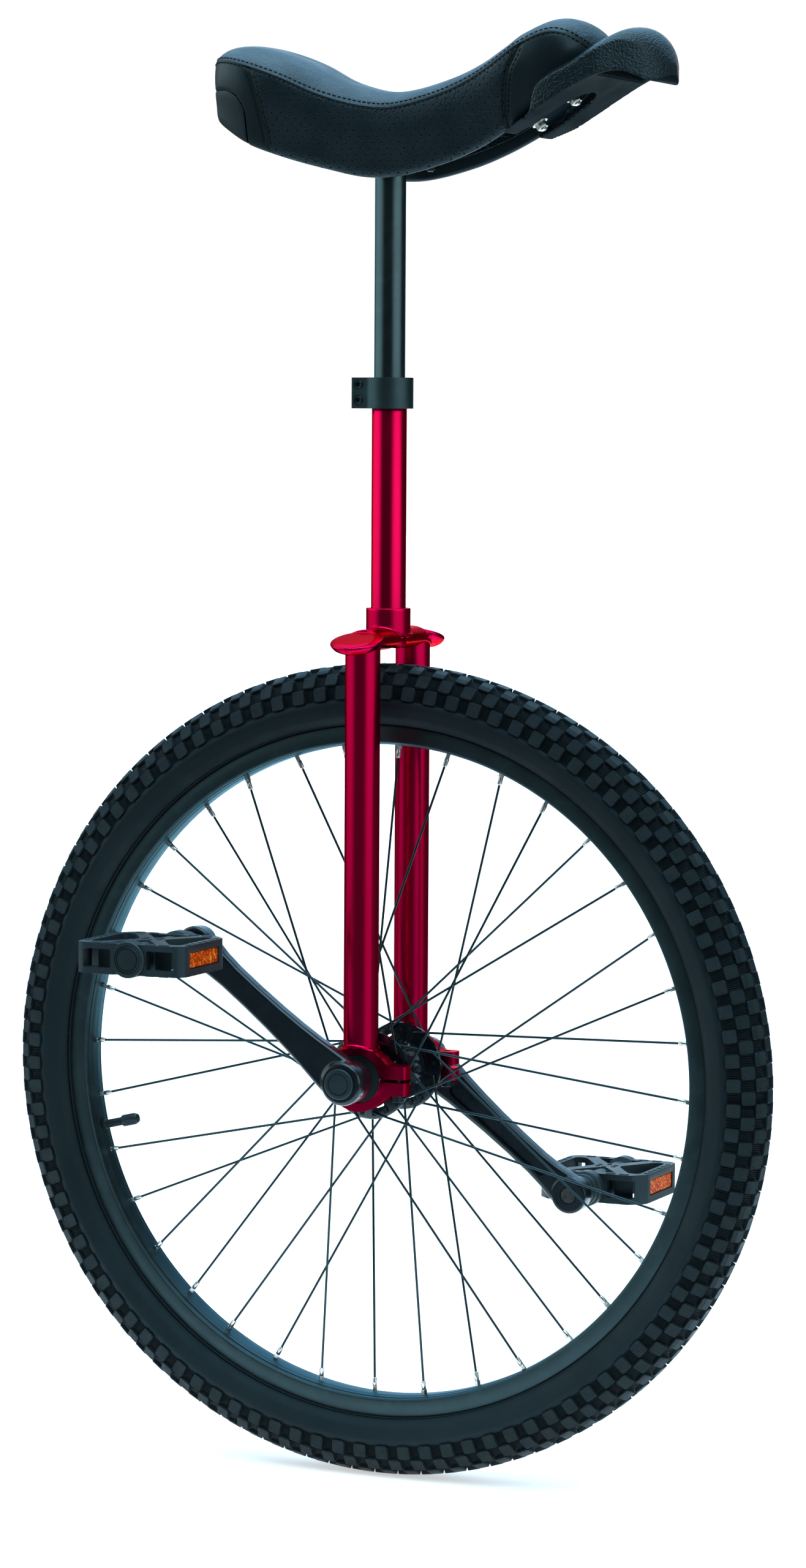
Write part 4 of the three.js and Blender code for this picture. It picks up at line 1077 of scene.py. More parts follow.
def make_crown():
    """Two dished pads joined by an oval bridge with the sleeve for the neck."""
    height, reach = CROWN["height"], CROWN["reach"]
    oval = [(CROWN["half_length"] * x, CROWN["half_height"] * z) for x, z, _ in circle(1, 40)]
    bridge = Shape().loft([[(x, y, height + z) for x, z in oval] for y in (-reach, reach)])
    crown = bridge.object("crown_casting", RED)
    joined = []
    radius, half = PAD["radius"], PAD["half"]
    for side in SIDES.values():
        pad = Shape()
        pad.turn([(4, -half), (radius - 6, -half), (radius - 2.5, -half * 0.5),
                  (radius - 0.5, half * 0.1), (radius, half * 0.45), (radius - 0.6, half * 0.75),
                  (radius - 5, half), (4, half * 1.15)], 64, "Z")
        tilt = Matrix.Rotation(-side * radians(PAD["tilt"]), 4, "X")
        pad.move(Matrix.Translation((0, side * PAD["y"], PAD["z"])) @ tilt)
        joined.append(pad.object("pad", RED))
    sleeve = Shape().turn([(CROWN["sleeve"], 694), (CROWN["sleeve"], 717)], 48, "Z")
    joined.append(sleeve.object("sleeve", RED))
    carve(crown, *joined, operation="UNION")
    bore = Shape().turn([(CROWN["bore"], 640), (CROWN["bore"], 740)], 48, "Z")
    carve(crown, bore.object("bore", RED))
    soften(crown, 0.8, 4)
    settle(crown, "frame", "frame_red", "crown")
    bead = Shape()
    ring = [(x, y, height + 9.2 * math.sqrt(max(0.12, 1 - (x / 16.5) ** 2)))
            for x, y, _ in circle(CROWN["sleeve"] + 0.3, 90)]
    weld_bead(bead, ring, 1.4)
    settle(bead.object("crown_weld", RED), "frame", "frame_red")


def make_neck():
    """Neck tube, slit at the rear of its top where the clamp squeezes it."""
    tube = Shape()
    tube.turn([(13, 690.6), (13.1, 902), (14.1, 902), (14.3, 901.6), (14.3, 690.6)], 64, "Z",
              ring=True)
    neck = tube.object("neck", RED, smooth=30)
    slit = Shape().box((-18, -1.2, 852), (-10, 1.2, 910))
    slit.turn([(2.4, -18), (2.4, -10)], 20, "X", (0, 0, 852))
    carve(neck, slit.object("cutter"))
    shade(neck, 30)
    settle(neck, "frame", "frame_red", "neck_tube")


HOLDER = {"ring": 27, "bore": 20.05, "half": 7.5, "gap": 1.4, "ear_end": 43, "ear_top": 12,
          "screw_x": 33}
SCREW_HEAD_DROP = 12.3


def holder_outline():
    """Split ring with two ears, drawn as one line round its slot and bore."""
    gap, end, top = HOLDER["gap"], HOLDER["ear_end"], HOLDER["ear_top"]
    ring = arc((0, 0), HOLDER["ring"], 46, 314, 56)
    upper = [(end, gap), (end, top), (29.5, top), (26.8, 12.7), (24, 15), (21.6, 18.2)]
    lower = [(x, -z) for x, z in reversed(upper)]
    edge = math.degrees(math.asin(gap / HOLDER["bore"]))
    bore = arc((0, 0), HOLDER["bore"], 360 - edge, edge, 56)
    return upper + ring + lower + bore


def make_holder(name):
    """Clamping ring round a bearing, with its two ears rounded in plan and bored for a screw."""
    at = Matrix.Translation((0, SIDES[name] * LEG_MIDDLE, AXLE_HEIGHT))
    half, end, screw_x = HOLDER["half"], HOLDER["ear_end"], HOLDER["screw_x"]
    body = Shape().prism(holder_outline(), -half, half).move(at)
    holder = body.object(f"holder_{name}", RED, smooth=40)
    hole = Shape().turn([(3.4, -30), (3.4, 30)], 24, "Z", (screw_x, 0, 0))
    carve(holder, hole.move(at).object("cutter"))
    plan = rounded([(-30, -half), (end, -half), (end, half), (-30, half)], 6, 6)
    plan = Shape().prism(plan, -40, 40, "Z").move(at)
    carve(holder, plan.object("plan"), operation="INTERSECT")
    shade(holder, 40)
    bevel(holder, 1.1, 3)
    settle(holder, "frame", "frame_red", f"bearing_holder_{name}")


def make_bearing(name):
    """Outer race in its holder and a black seal on each face."""
    at = (0, SIDES[name] * LEG_MIDDLE, AXLE_HEIGHT)
    race = Shape()
    race.turn([(16.5, -6), (19.4, -6), (19.7, -5.6), (19.7, 5.6), (19.4, 6), (16.5, 6)], 64, "Y",
              at, ring=True)
    race = race.object(f"bearing_race_{name}", STEEL, smooth=30)
    settle(race, "frame", "bare_steel", f"bearing_outer_{name}")
    seals = Shape()
    for low, high in ((-6.5, -6.1), (6.1, 6.5)):
        seals.turn([(12.9, low), (19.2, low), (19.2, high), (12.9, high)], 64, "Y", at, ring=True)
    settle(seals.object(f"bearing_seals_{name}", BUTYL, smooth=30), "frame", "butyl")


def make_pinch_screw(name):
    """Socket screw entering the holder's ears from below."""
    at = (HOLDER["screw_x"], SIDES[name] * LEG_MIDDLE, AXLE_HEIGHT - SCREW_HEAD_DROP)
    screw = socket_bolt(head_radius=4.6, head=5.6, shank_radius=2.9, shank=22.5)
    screw.move(Matrix.Translation(at) @ Matrix.Rotation(pi, 4, "X"))
    screw = screw.object(f"pinch_screw_{name}", BOLT_BLACK, smooth=30)
    settle(screw, "frame", "fastener_black", f"pinch_bolt_{name}")


def socket_bolt(head_radius, head, shank_radius, shank):
    """Socket-head screw along +Z with its head's seat at z = 0 and a hexagonal socket."""
    sides = 48
    key = head_radius * 0.56
    rows = []
    for radius, height in ((shank_radius * 0.6, -shank), (shank_radius, -shank + 0.6),
                           (shank_radius, 0), (head_radius, 0), (head_radius, head - 0.5),
                           (head_radius - 0.5, head), (key + 0.35, head)):
        rows.append(circle(radius, sides, height))
    rows += [hexagon(key, height, sides) for height in (head - 0.3, head * 0.4)]
    return Shape().loft(rows)


# ================================================================ seat post and clamp
CLAMP = {"bore": 14.6, "radius": 19.5, "ear_end": -29.5, "ear_side": 10, "gap": 1.3,
         "low": 879.3, "high": 904.5, "screw_x": -23.5}
CLAMP_SCREWS = {"lower": 886, "upper": 898.7}


def make_clamp():
    """Collar split at the rear, with two ears counterbored for the screws."""
    end, ear, gap = CLAMP["ear_end"], CLAMP["ear_side"], CLAMP["gap"]
    edge = math.degrees(math.asin(gap / CLAMP["bore"]))
    bore = arc((0, 0), CLAMP["bore"], 180 - edge, edge - 180, 64)
    corner = math.degrees(math.asin(ear / CLAMP["radius"]))
    ring = arc((0, 0), CLAMP["radius"], corner - 180, 180 - corner, 64)
    outline = [(end, -gap), (end, -ear)] + ring + [(end, ear), (end, gap)] + bore
    body = Shape().prism(outline, CLAMP["low"], CLAMP["high"], "Z")
    clamp = body.object("clamp_collar", CLAMP_BLACK, smooth=35)
    holes = Shape()
    for height in CLAMP_SCREWS.values():
        at = (CLAMP["screw_x"], 0, height)
        holes.turn([(4.1, -15), (4.1, -7.4)], 32, "Y", at)
        holes.turn([(2.2, -8), (2.2, 15)], 24, "Y", at)
    carve(clamp, holes.object("cutter"))
    shade(clamp, 35)
    bevel(clamp, 0.55, 3)
    settle(clamp, "clamp", "clamp_black", "seat_clamp")


def make_clamp_screws():
    """Two socket screws across the collar's ears."""
    for label, height in CLAMP_SCREWS.items():
        at = Matrix.Translation((CLAMP["screw_x"], -7.2, height))
        screw = socket_bolt(head_radius=3.7, head=3.4, shank_radius=2, shank=17)
        screw.move(at @ Matrix.Rotation(pi / 2, 4, "X"))
        screw = screw.object(f"clamp_screw_{label}", BOLT_BLACK, smooth=30)
        settle(screw, "clamp", "fastener_black", f"clamp_bolt_{label}")


def make_post():
    """Seat post with a row of height marks near its lower end."""
    post = Shape()
    post.turn([(10.9, 775), (12.4, 775), (12.7, 775.5), (12.7, 1077.2), (10.9, 1077.2)], 64, "Z",
              ring=True)
    for height in range(785, 880, 10):
        post.turn([(12.66, height), (12.74, height), (12.74, height + 0.5), (12.66, height + 0.5)],
                  64, "Z", ring=True)
    settle(post.object("post_tube", POST_BLACK, smooth=30), "seat", "post_black", "seat_post")


# ================================================================ saddle form
# Cross sections from rear to front: x, crown height, half width at the top seam, height of the
# lower edge, half width there.
SADDLE = [
    (-141, 1158, 30, 1118, 28), (-134, 1170, 50, 1112, 46), (-120, 1174, 64, 1103, 56),
    (-100, 1172, 71, 1092, 61), (-70, 1162, 68, 1081, 55), (-40, 1147, 57, 1072.5, 45),
    (-8, 1137.5, 48, 1065.5, 38), (20, 1135, 46, 1065.5, 37), (60, 1144, 46, 1074.5, 37),
    (90, 1156, 48, 1085.5, 37), (116, 1171, 53, 1099, 40), (130, 1180, 54, 1109, 44),
    (158, 1189, 53, 1128, 49), (176, 1181, 44, 1141, 42), (190, 1162, 24, 1150, 22),
]
# Front handle: x, crown height, half width, height of the lower edge.
HANDLE = [
    (119, 1100, 50, 1096.5), (136, 1108, 60, 1105), (146, 1120, 61.5, 1111),
    (149.5, 1139, 62.5, 1113.5), (160, 1149, 63, 1120), (178, 1158, 61.5, 1130.5),
    (199, 1172, 57, 1141), (214, 1180, 48, 1144.5), (226, 1179, 40, 1141),
    (236, 1170, 31, 1136.5), (242, 1159, 24, 1139), (245, 1152, 14, 1144),
]


def smooth_at(table, column, x):
    """Value of a table's column at x, on a smooth curve through its rows."""
    xs = [row[0] for row in table]
    x = min(max(x, xs[0]), xs[-1])
    i = max(0, min(len(xs) - 2, sum(1 for value in xs if value <= x) - 1))

    def slope(k):
        low, high = max(0, k - 1), min(len(xs) - 1, k + 1)
        return (table[high][column] - table[low][column]) / (xs[high] - xs[low])

    span = xs[i + 1] - xs[i]
    t = (x - xs[i]) / span
    a, b = table[i][column], table[i + 1][column]
    return ((2 * t ** 3 - 3 * t ** 2 + 1) * a + (t ** 3 - 2 * t ** 2 + t) * span * slope(i)
            + (3 * t ** 2 - 2 * t ** 3) * b + (t ** 3 - t ** 2) * span * slope(i + 1))


def lower_edge(x):
    """Height of the saddle's lower edge at a station."""
    return smooth_at(SADDLE, 3, x)


REAR_REACH = 9  # length of the saddle's rounding at its rear
FRONT_REACH = 12
FRONT_STRETCH = 1.333  # about the second over the first


def quarter_steps(count):
    """Distances from the saddle's rear, close together where it curves most."""
    return [REAR_REACH * (1 - cos(pi / 2 * i / 9)) for i in range(count)]


def end_rounding(x, rear_reach=REAR_REACH):
    """Falls from 1 to 0 over the last millimetres at either end, as a quarter circle in plan."""
    rear = min(1.0, max(0.0, (x - SADDLE[0][0]) / rear_reach))
    front = min(1.0, max(0.0, (SADDLE[-1][0] - x) / FRONT_REACH))
    share = min(rear, front)
    return math.sqrt(1 - (1 - share) ** 2)


def saddle_section(x):
    """(crown, seam half width, seam height, lower edge, lower half width) at a station."""
    tip = end_rounding(x)
    crown = smooth_at(SADDLE, 1, x) - 6 * (1 - tip)
    lower = smooth_at(SADDLE, 3, x) + 3 * (1 - tip)
    top_half = smooth_at(SADDLE, 2, x) * tip
    lower_half = smooth_at(SADDLE, 4, x) * tip
    return crown, top_half, crown - 0.2 * (crown - lower), lower, lower_half


REAR_SEAM = [(1083, -82), (1101, -83.5), (1120, -86), (1140, -90), (1153, -95), (1190, -101)]
FRONT_SEAM = [(1080, 133), (1095, 129), (1100, 122), (1113, 119), (1129, 121), (1146, 125),
              (1160, 132), (1190, 142)]
SEAM_DEPTH = 1.5
STITCH_OFFSET = 2.6


def dent(distance):
    """Depth of a sewn seam at a distance from it: a deep fold between two stitched lines."""
    fold = math.exp(-((distance / 1.1) ** 2))
    sewn = math.exp(-(((abs(distance) - STITCH_OFFSET) / 0.8) ** 2))
    return SEAM_DEPTH * (fold + 0.4 * sewn)


def flank_point(x, side, share):
    """Point on the saddle's side: share 0 at the top seam, 1 at the lower edge."""
    _, top_half, seam, lower, lower_half = saddle_section(x)
    tip = end_rounding(x)
    bulge = (2.6 * sin(pi * share) + 1.2 * sin(2 * pi * share)) * tip
    tuck = 2.2 * max(0.0, (share - 0.86) / 0.14) ** 2
    half = top_half + (lower_half - top_half) * share + bulge - tuck * tip
    height = seam + (lower - seam) * share
    groove = dent(x - smooth_at(REAR_SEAM, 1, height)) + dent(x - smooth_at(FRONT_SEAM, 1, height))
    half -= groove + 0.7 * dent(share * (seam - lower)) * tip
    return Vector((x, side * max(0.0, half), height))


def top_point(x, side, share):
    """Point on the top panel: share 0 on the middle line, 1 at the seam."""
    crown, top_half, seam, _, _ = saddle_section(x)
    sag = 0.35 * share ** 2 + 0.65 * share ** 3.2
    channel = 1.6 * math.exp(-((share * top_half / 9) ** 2)) * max(0.0, 1 - ((x - 10) / 95) ** 2)
    half = top_half * share
    groove = 0.7 * dent((1 - share) * top_half)
    return Vector((x, side * half, crown - (crown - seam) * sag - channel - groove))


BUMPER = {"corner_x": -122, "corner_z": 1113, "corner": 22, "wall": 3}


def in_bumper(x, z):
    """How far a point lies inside the rear bumper's region, from 0 to 1 over its edge."""
    dx, dz = x - BUMPER["corner_x"], z - BUMPER["corner_z"]
    if dx > 0 and dz > 0:
        outside = math.hypot(dx, dz) - BUMPER["corner"]
    else:
        outside = max(dx, dz) - BUMPER["corner"]
    return min(1.0, max(0.0, 0.5 - outside / 1.6))


FINE_ZONES = ((-106, -77), (112, 142))  # stretches of x that the side seams cross
FINE_STEP = 0.55
STEP = 3.2
REAR_PART_END, REAR_STEP = -128, 1.8


def saddle_stations():
    """Stations along the saddle: close together at the ends and across the side seams."""
    rear, front = SADDLE[0][0], SADDLE[-1][0]
    ends = quarter_steps(9)
    stations = [rear + 0.05 + reach for reach in ends]
    x = rear + REAR_REACH + 0.5
    while x < front - FRONT_REACH - 1:
        stations.append(x)
        if any(low < x < high for low, high in FINE_ZONES):
            x += FINE_STEP
        else:
            x += STEP if x > REAR_PART_END else REAR_STEP
    stations += [front - 0.05 - FRONT_STRETCH * reach for reach in reversed(ends)]
    return stations


TOP_SHARES = [i / 14 * 0.9 for i in range(15)] + [0.9 + 0.0125 * i for i in range(1, 9)]
SIDE_SHARES = [
    *(0.008 * i for i in range(1, 8)), *(0.056 + 0.8 * i / 22 for i in range(1, 23)),
    0.9, 0.94, 0.97, 1.0,
]
TUCK = ((1.2, -0.5), (3, 0.4), (4, 3), (4.6, 12), (5, 20))  # inset and rise from the lower edge
HOLLOW_ROOF = 21.6  # height of the hollow underside above the lower edge


def half_section(x):
    """Left half of the cushion's outline at a station, and each point's place on the pattern."""
    lower = saddle_section(x)[3]
    points, laid = [], []
    for share in TOP_SHARES:
        point = top_point(x, 1, share)
        points.append(point)
        laid.append((x, point.y))
    for share in SIDE_SHARES:
        point = flank_point(x, 1, share)
        depth = (BUMPER["wall"] + 0.5) * in_bumper(x, point.z)
        point.y *= max(0.0, 1 - depth / max(4.0, point.y))
        point.x += depth * (1 - end_rounding(x, 14))
        points.append(point)
        laid.append((x, point.z))
    edge = points[-1]
    for inset, rise in TUCK:
        points.append(Vector((edge.x, max(0.0, edge.y - inset), lower + rise)))
        laid.append((x, lower + rise))
    for share in (0.6, 0.3, 0.0):
        points.append(Vector((edge.x, points[-1].y * share, lower + HOLLOW_ROOF)))
        laid.append((x, 0))
    return points, laid


def panel_of(place, x, z):
    """Material of a face: 0 for the grained top, 1 for the pricked sides, 2 for the smooth rest."""
    if place < len(TOP_SHARES) - 1:
        return 0
    on_side = place < len(TOP_SHARES) + len(SIDE_SHARES)
    between = smooth_at(REAR_SEAM, 1, z) < x < smooth_at(FRONT_SEAM, 1, z)
    return 1 if on_side and between else 2


def make_cushion():
    """Crowned cushion in one form: top panel, side panels, tucked edge and hollow underside."""
    stations = saddle_stations()
    rows, laid = [], []
    for x in stations:
        half, half_laid = half_section(x)
        rows.append(half + [Vector((p.x, -p.y, p.z)) for p in reversed(half[1:-1])])
        laid.append(half_laid + list(reversed(half_laid[1:-1])))
    shape = Shape().loft(rows, laid=laid)
    count = len(rows[0])
    for n in range((len(rows) - 1) * count):
        i, j = divmod(n, count)
        middle = (stations[i] + stations[i + 1]) / 2
        shape.paint[n] = panel_of(min(j, count - 1 - j), middle, rows[i][j].z)
    cushion = shape.object("saddle_cushion", VINYL, PRICKED, SMOOTH_VINYL, smooth=60)
    settle(cushion, "seat", "saddle_vinyl", "saddle_cover", "saddle_foam")


STITCH = {"pitch": 4.0, "length": 2.9, "radius": 0.55, "lift": 0.28, "drop": 0.35}
LINE_STEP = 0.4  # between the points of a line to be stitched
TOP_LINE_START, TOP_LINE_POINTS = -136, 805


def stitch(shape, start, end, out):
    """One stitch: a short thread that dips into the vinyl at both ends."""
    lift, drop = out * STITCH["lift"], out * -STITCH["drop"]
    bend = (end - start) * 0.14
    radius = STITCH["radius"]
    path = [start + drop, start + bend + lift, end - bend + lift, end + drop]
    shape.sweep(path, [radius * 0.6, radius, radius, radius * 0.6], 6)


def stitch_line(shape, points, outs):
    """Stitches one after another along a line of close points."""
    pitch, length = STITCH["pitch"], STITCH["length"]
    reach = 0.0
    start = None
    for i in range(1, len(points)):
        reach += (points[i] - points[i - 1]).length
        if start is None and reach >= pitch - length:
            start, from_out = points[i], outs[i]
        elif reach >= pitch:
            stitch(shape, start, points[i], (from_out + outs[i]).normalized())
            reach, start = 0.0, None


def seam_points(seam_line, low, shift, side):
    """Close points beside a side seam, from a height up to the top seam."""
    points = []
    z = low
    while True:
        x = smooth_at(seam_line, 1, z) + shift * STITCH_OFFSET
        _, _, seam, lower, _ = saddle_section(x)
        share = (seam - z) / (seam - lower)
        if share < 0.07:
            return points
        points.append(flank_point(x, side, min(1, share)))
        z += LINE_STEP


def make_stitches():
    """Two stitched lines along each top seam and each side seam."""
    shape = Shape()
    xs = [TOP_LINE_START + LINE_STEP * i for i in range(TOP_LINE_POINTS)]
    for side in (1, -1):
        flank, top = [], []
        for x in xs:
            _, top_half, seam, lower, _ = saddle_section(x)
            flank.append(flank_point(x, side, STITCH_OFFSET / (seam - lower)))
            top.append(top_point(x, side, 1 - STITCH_OFFSET / max(8, top_half)))
        stitch_line(shape, flank, [Vector((0, side, 0.15)).normalized()] * len(xs))
        stitch_line(shape, top, [Vector((0, 0.25 * side, 1)).normalized()] * len(xs))
        for seam_line, shift, low in ((REAR_SEAM, 1, 1090), (REAR_SEAM, -1, 1092),
                                      (FRONT_SEAM, 1, 1112), (FRONT_SEAM, -1, 1108)):
            points = seam_points(seam_line, low, shift, side)
            stitch_line(shape, points, [Vector((0, side, 0))] * len(points))
    settle(shape.object("saddle_stitches", THREAD), "seat", "saddle_vinyl")


def bumper_top(x):
    """Height of the bumper's upper edge at a station, rounded off towards its front."""
    over = max(0.0, x - BUMPER["corner_x"])
    return BUMPER["corner_z"] + math.sqrt(max(0.0, BUMPER["corner"] ** 2 - over ** 2))


def bumper_section(x, side):
    """Closed outline of the shell at a station: its outer face, then its inner face."""
    _, _, seam, lower, _ = saddle_section(x)
    top_share = (seam - bumper_top(x)) / (seam - lower)
    outer, inner = [], []
    for i in range(15):
        share = min(1.0, 1 + (top_share - 1) * i / 14)
        point = flank_point(x, side, share)
        along = (flank_point(min(x + 0.4, 180), side, share) - point) * side
        across = Vector((-along.y, along.x, 0)).normalized()
        if across.y * side < 0:
            across = -across
        if x < SADDLE[0][0] + 0.1:
            across = Vector((-1, 0, 0))
        edge = 1 - abs(2 * i / 14 - 1) ** 6
        outer.append(point + across * (0.5 * edge))
        inner.append(point - across * (BUMPER["wall"] - 0.2))
    return outer + list(reversed(inner))


def make_bumper():
    """Rear scuff guard: a thin shell over the cushion's rear, with a rounded front edge."""
    reaches = quarter_steps(10) + [REAR_REACH + 1.25 * i for i in range(1, 26)]
    stations = [SADDLE[0][0] + 0.05 + reach for reach in reaches]
    rows = [bumper_section(x, 1) for x in reversed(stations)]
    rows += [bumper_section(x, -1) for x in stations[1:]]
    bumper = Shape().loft(rows).object("bumper_shell", SMOOTH_PLASTIC, smooth=45)
    bevel(bumper, 0.7, 2, 50)
    settle(bumper, "seat", "saddle_plastic", "rear_bumper")


# ================================================================ saddle base, plate and nuts
BASE_LOW, BASE_HIGH = 15.6, 21  # faces of the pan above the saddle's lower edge
CROSS_RIBS = (-112, -98, -84, -70, -58, 56, 74, 92)
# Half width of the pan at stations along it.
BASE_HALF = [(-126, 24), (-118, 40), (-100, 53), (-70, 47), (-40, 38), (0, 31), (60, 31), (110, 33),
             (160, 34), (178, 28)]


def make_base():
    """Moulded pan under the cushion, with lengthwise and cross ribs and a rim."""
    shape = Shape()
    rows = []
    xs = [BASE_HALF[0][0] + 4 * i for i in range(77)]
    for x in xs:
        half = smooth_at(BASE_HALF, 1, x)
        low, high = lower_edge(x) + BASE_LOW, lower_edge(x) + BASE_HIGH
        rows.append([(x, -half, low), (x, half, low), (x, half, high), (x, -half, high)])
    shape.loft(rows)

    def rib(points, depth):
        """Thin wall under the pan along a line of points."""
        ribs = []
        for i, (x, y) in enumerate(points):
            before, after = points[max(0, i - 1)], points[min(len(points) - 1, i + 1)]
            across = Vector((before[1] - after[1], after[0] - before[0], 0)).normalized()
            centre = Vector((x, y, lower_edge(x)))
            low, high = Vector((0, 0, BASE_LOW - depth)), Vector((0, 0, BASE_LOW + 0.5))
            ribs.append([centre + across + low, centre + across + high,
                         centre - across + high, centre - across + low])
        shape.loft(ribs)

    for side in (1, -1):
        rib([(x, side * (smooth_at(BASE_HALF, 1, x) - 1.2)) for x in xs], depth=5)
        for share in (0.33, 0.66):
            rib([(x, side * share * smooth_at(BASE_HALF, 1, x)) for x in xs if x < -58], depth=3)
    for x in CROSS_RIBS:
        half = smooth_at(BASE_HALF, 1, x) - 2
        rib([(x, -half), (x, 0), (x, half)], depth=3.5)
    base = shape.object("base_pan", SADDLE_PLASTIC, smooth=35)
    bevel(base, 0.5, 2)
    settle(base, "seat", "saddle_plastic", "saddle_base")


def make_post_top():
    """Weld that holds the plate under the saddle on the post."""
    shape = Shape()
    weld_bead(shape, [(x, y, lower_edge(x) + 11.2) for x, y, _ in circle(12.9, 80)], 1.2)
    settle(shape.object("post_weld", POST_BLACK), "seat", "post_black")


def nut_and_stud(nut_radius, nut_height, stud_up, stud_down, washer=0.0):
    """Nut hanging below z = 0 on a threaded stud, with a washer above it if it has one."""
    shape = Shape()
    top = -1.4 if washer else 0
    if washer:
        shape.turn([(3, -1.4), (washer, -1.4), (washer + 0.1, -1.2), (washer + 0.1, -0.2),
                    (washer, 0), (3, 0)], 32, "Z", ring=True)
    low = top - nut_height
    rows = [hexagon(nut_radius * 0.9, low), hexagon(nut_radius, low + 0.8),
            hexagon(nut_radius, top - 0.3), hexagon(nut_radius * 0.94, top)]
    shape.loft(rows)
    thread_line = []
    height = low - stud_down
    while height < low + 0.2:
        thread_line += [(2.45, height), (2.8, height + 0.25), (2.45, height + 0.5)]
        height += 0.5
    shape.turn([(1.6, low - stud_down - 0.5), *thread_line, (2.7, stud_up - 0.2), (2.3, stud_up)],
               20, "Z")
    return shape


NUT_SEATS = {"front": (159, 1128), "rear": (130, 1108.5)}
NUT_TURN = Matrix.Rotation(radians(-34), 4, "Y")


def make_saddle_bolts():
    """Four nuts on the plate under the saddle and the two that hold the handle."""
    for label, x in (("front", 27), ("rear", -27)):
        for name, side in SIDES.items():
            top = min(lower_edge(x - 6), lower_edge(x + 6)) + 12 - 0.35
            bolt = nut_and_stud(5.2, 4.5, 11, 1.0)
            bolt.move(Matrix.Translation((x, side * 19, top)))
            # Painted shade: these zinc nuts under the saddle get the darkened steel.
            bolt = bolt.object(f"saddle_nut_{label}_{name}", SHADED_STEEL, smooth=30)
            settle(bolt, "seat", "zinc", f"saddle_bolt_{label}_{name}")
    for label, (x, z) in NUT_SEATS.items():
        bolt = nut_and_stud(5.0, 5.0, 19, 1.2, washer=6.7)
        bolt.move(Matrix.Translation((x, 0, z)) @ NUT_TURN)
        bolt = bolt.object(f"handle_nut_{label}", ZINC, smooth=30)
        settle(bolt, "seat", "zinc", f"handle_bolt_{label}")


# ================================================================ handle
HANDLE_WALL = 8
HOLLOW = (199, 234)  # finger hollow, from its rear end to the inside of the front wall
HOLLOW_FLOOR = 1090  # below the whole handle, so that the hollow is open underneath
RIB_LEVELS = [1145.5 + 2.6 * i for i in range(6)]
RIB_REACH = 14
NOSE_GAP = 0.7
UNDERSIDE = -0.45  # faces whose normals point down by more than this get the darker plastic, without gloss, painted as shade
RECESS = {"rear": 106, "middle": 150, "front": 177, "half": 25, "low": 1050}


def handle_width(x, inset, last):
    """Half width of the handle at a station, less an inset, rounded off towards its front."""
    share = min(1.0, (last - x) / 14 + 0.02)
    return (smooth_at(HANDLE, 2, x) - inset) * (0.3 + 0.7 * math.sqrt(1 - (1 - share) ** 2))


def handle_form(first, last, inset=0.0, level=None):
    """Solid between the handle's upper and lower lines, or down to a level, set in by an inset."""
    rows = []
    for i in range(70):
        x = first + (last - first) * i / 69
        crown, lower = smooth_at(HANDLE, 1, x), smooth_at(HANDLE, 3, x)
        half = handle_width(x, inset, last)
        low = level or lower
        row = [(x, -half, low), (x, half, low)]
        for k in range(25):
            v = 1 - k / 12
            arch = 0.2 * (crown - lower) * v * v + 5.0 * abs(v) ** 7
            row.append((x, v * half, max(low + 1, crown - inset - arch)))
        rows.append(row)
    return Shape().loft(rows)


def nose_clearance():
    """The saddle's nose, a little enlarged, to be cut out of the hood."""
    rows = []
    for i in range(26):
        x = 96 + 94.4 * i / 25
        crown, top_half, seam, lower, lower_half = saddle_section(min(x, 189.6))
        foot = lower_half + NOSE_GAP
        row = [(x, -foot, lower - NOSE_GAP), (x, foot, lower - NOSE_GAP)]
        row.append((x, foot + 1.5, (lower + seam) / 2))
        for k in range(13):
            v = 1 - k / 6
            row.append((x, v * (top_half + NOSE_GAP), crown + NOSE_GAP - (crown - seam) * v * v))
        row.append((x, -foot - 1.5, (lower + seam) / 2))
        rows.append(row)
    return Shape().loft(rows)


def nut_recess():
    """Long pocket under the handle, open at the rear and round at the front, for its two nuts."""
    rear, middle, front = RECESS["rear"], RECESS["middle"], RECESS["front"]
    rows = []
    for i in range(41):
        x = rear + (front - rear) * i / 40
        reach = max(0.0, (x - middle) / (front - middle))
        half = RECESS["half"] * math.sqrt(max(0.002, 1 - reach ** 2))
        low, roof = RECESS["low"], lower_edge(x) + 0.8
        rows.append([(x, -half, low), (x, half, low), (x, half, roof), (x, -half, roof)])
    return Shape().loft(rows)


def handle_tongue():
    """Flat tongue that runs back under the saddle's base."""
    rows = []
    for i in range(20):
        x = 122 + 62 * i / 19
        half = min(37, saddle_section(x)[4] - 7)
        low, high = lower_edge(x) - 1.4, lower_edge(x) + 15
        rows.append([(x, -half, low), (x, half, low), (x, half, high), (x, -half, high)])
    return Shape().loft(rows)


def nut_holes():
    """Holes through the tongue for the two studs."""
    holes = Shape()
    for x, z in NUT_SEATS.values():
        hole = Shape().turn([(3.2, -14), (3.2, 22)], 16, "Z")
        holes.join(hole.move(Matrix.Translation((x, 0, z)) @ NUT_TURN))
    return holes


def make_handle():
    """Grip hood over the saddle's nose, floored under it, with a tongue and a finger hollow."""
    hood = handle_form(HANDLE[0][0], HANDLE[-1][0]).object("grip_hood", SADDLE_PLASTIC)
    hollow = handle_form(*HOLLOW, HANDLE_WALL, HOLLOW_FLOOR)
    carve(hood, hollow.object("hollow"), nose_clearance().object("nose"))
    carve(hood, handle_tongue().object("tongue"), operation="UNION")
    carve(hood, nut_recess().object("recess"))
    carve(hood, nut_holes().object("holes"))
    soften(hood, 1.1, 3)
    hood.data.materials.append(SHADED_UNDER_PLASTIC)
    # Downward faces get the darker copy of the plastic, painted as shade.
    for face in hood.data.polygons:
        face.material_index = 1 if face.normal.z < UNDERSIDE else 0
    settle(hood, "seat", "saddle_plastic", "front_handle")


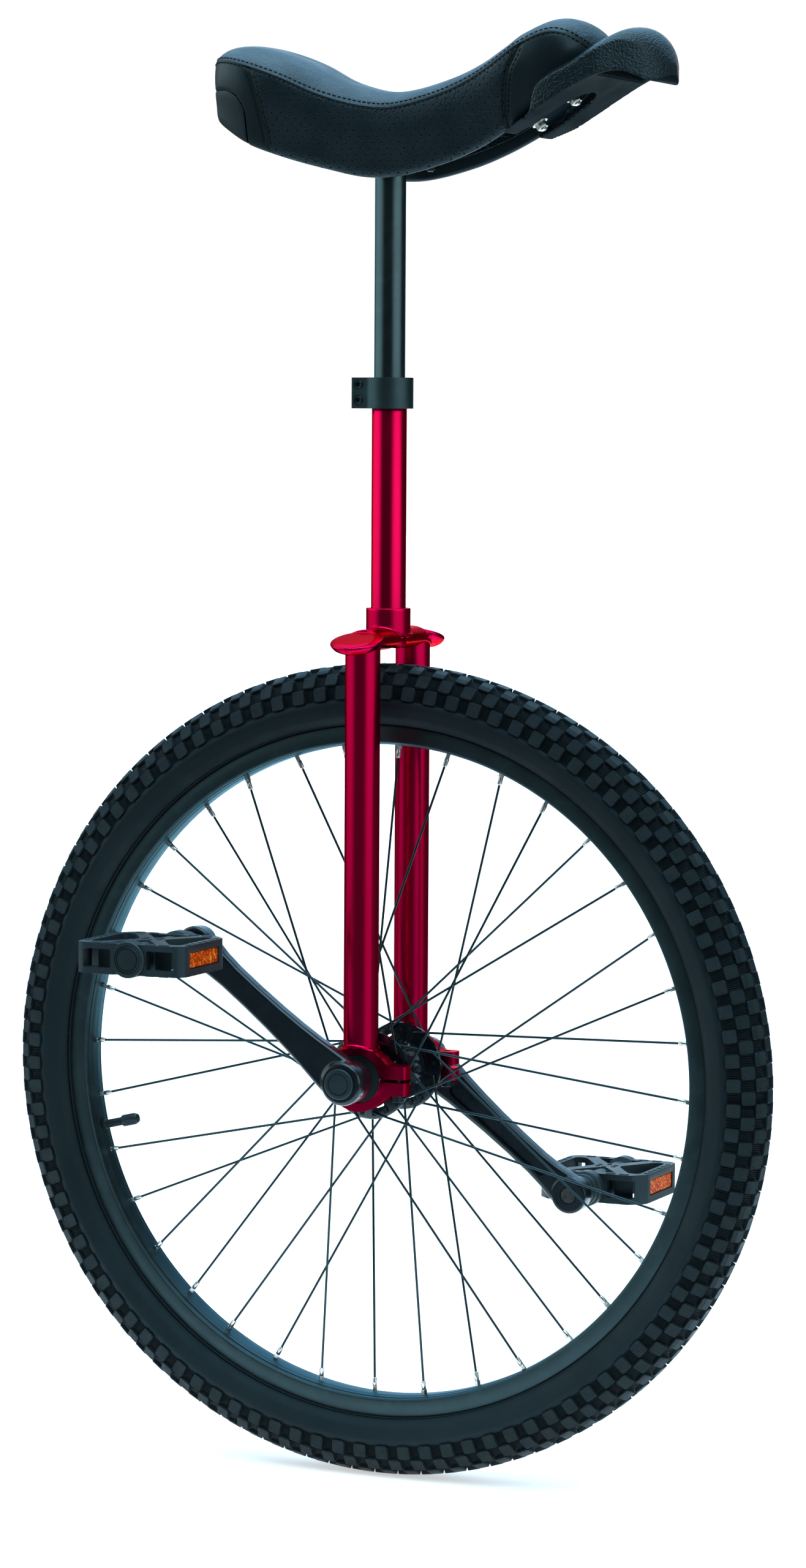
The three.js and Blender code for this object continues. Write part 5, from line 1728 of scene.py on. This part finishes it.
def make_grip_ribs():
    """Level ribs round the inner front wall of the finger hollow."""
    ribs = Shape()
    front = HOLLOW[1]
    backs = [RIB_REACH * (i / 12) ** 2 for i in range(13)]
    wall = [(front - back, handle_width(front - back, HANDLE_WALL, front)) for back in backs]
    for z in RIB_LEVELS:
        path = [(x, y, z) for x, y in reversed(wall)] + [(x, -y, z) for x, y in wall]
        ribs.sweep(path, 1.1, 8)
    settle(ribs.object("grip_ribs", SADDLE_PLASTIC), "seat", "saddle_plastic")


# ================================================================ parts kept from the model
def dress_kept_nodes():
    """Materials for the model's own nodes that stay in view inside the hub, rim and cranks."""
    looks = {
        "axle": STEEL, "rim_tape": BUTYL, "seat_plate": POST_BLACK,
        "bearing_inner_left": STEEL, "bearing_inner_right": STEEL,
        "bearing_balls_left": ZINC, "bearing_balls_right": ZINC,
        "crank_bolt_left": BOLT_BLACK, "crank_bolt_right": BOLT_BLACK,
    }
    for name, material in looks.items():
        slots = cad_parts[name].material_slots
        for holder in slots:
            holder.material = material
        if not slots:
            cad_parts[name].data.materials.append(material)
    bevel(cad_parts["seat_plate"], 0.6, 2)


# ================================================================ assembly
def make_floor():
    """Round floor of 30 metres radius."""
    mesh = bpy.data.meshes.new("floor")
    sides = 96
    mesh.from_pydata(circle(30, sides), [], [list(range(sides))])
    mesh.materials.append(PAPER)
    floor = bpy.data.objects.new("floor", mesh)
    bpy.context.collection.objects.link(floor)


make_camera()
make_studio()
make_floor()
make_casing()
make_tread()
make_rim()
make_valve()
make_hub_barrel()
for side_name in SIDES:
    make_flange(side_name)
for side_name in SIDES:
    for spoke_number in range(SPOKES_PER_SIDE):
        make_spoke(side_name, spoke_number)
    make_crank(side_name)
    make_dust_cap(side_name)
    make_spindle(side_name)
    make_pedal_cage(side_name)
    make_pedal_barrel(side_name)
    make_pedal_grips(side_name)
    make_reflectors(side_name)
    make_leg(side_name)
    make_holder(side_name)
    make_bearing(side_name)
    make_pinch_screw(side_name)
make_crown()
make_neck()
make_clamp()
make_clamp_screws()
make_post()
make_cushion()
make_stitches()
make_bumper()
make_base()
make_post_top()
make_saddle_bolts()
make_handle()
make_grip_ribs()
dress_kept_nodes()
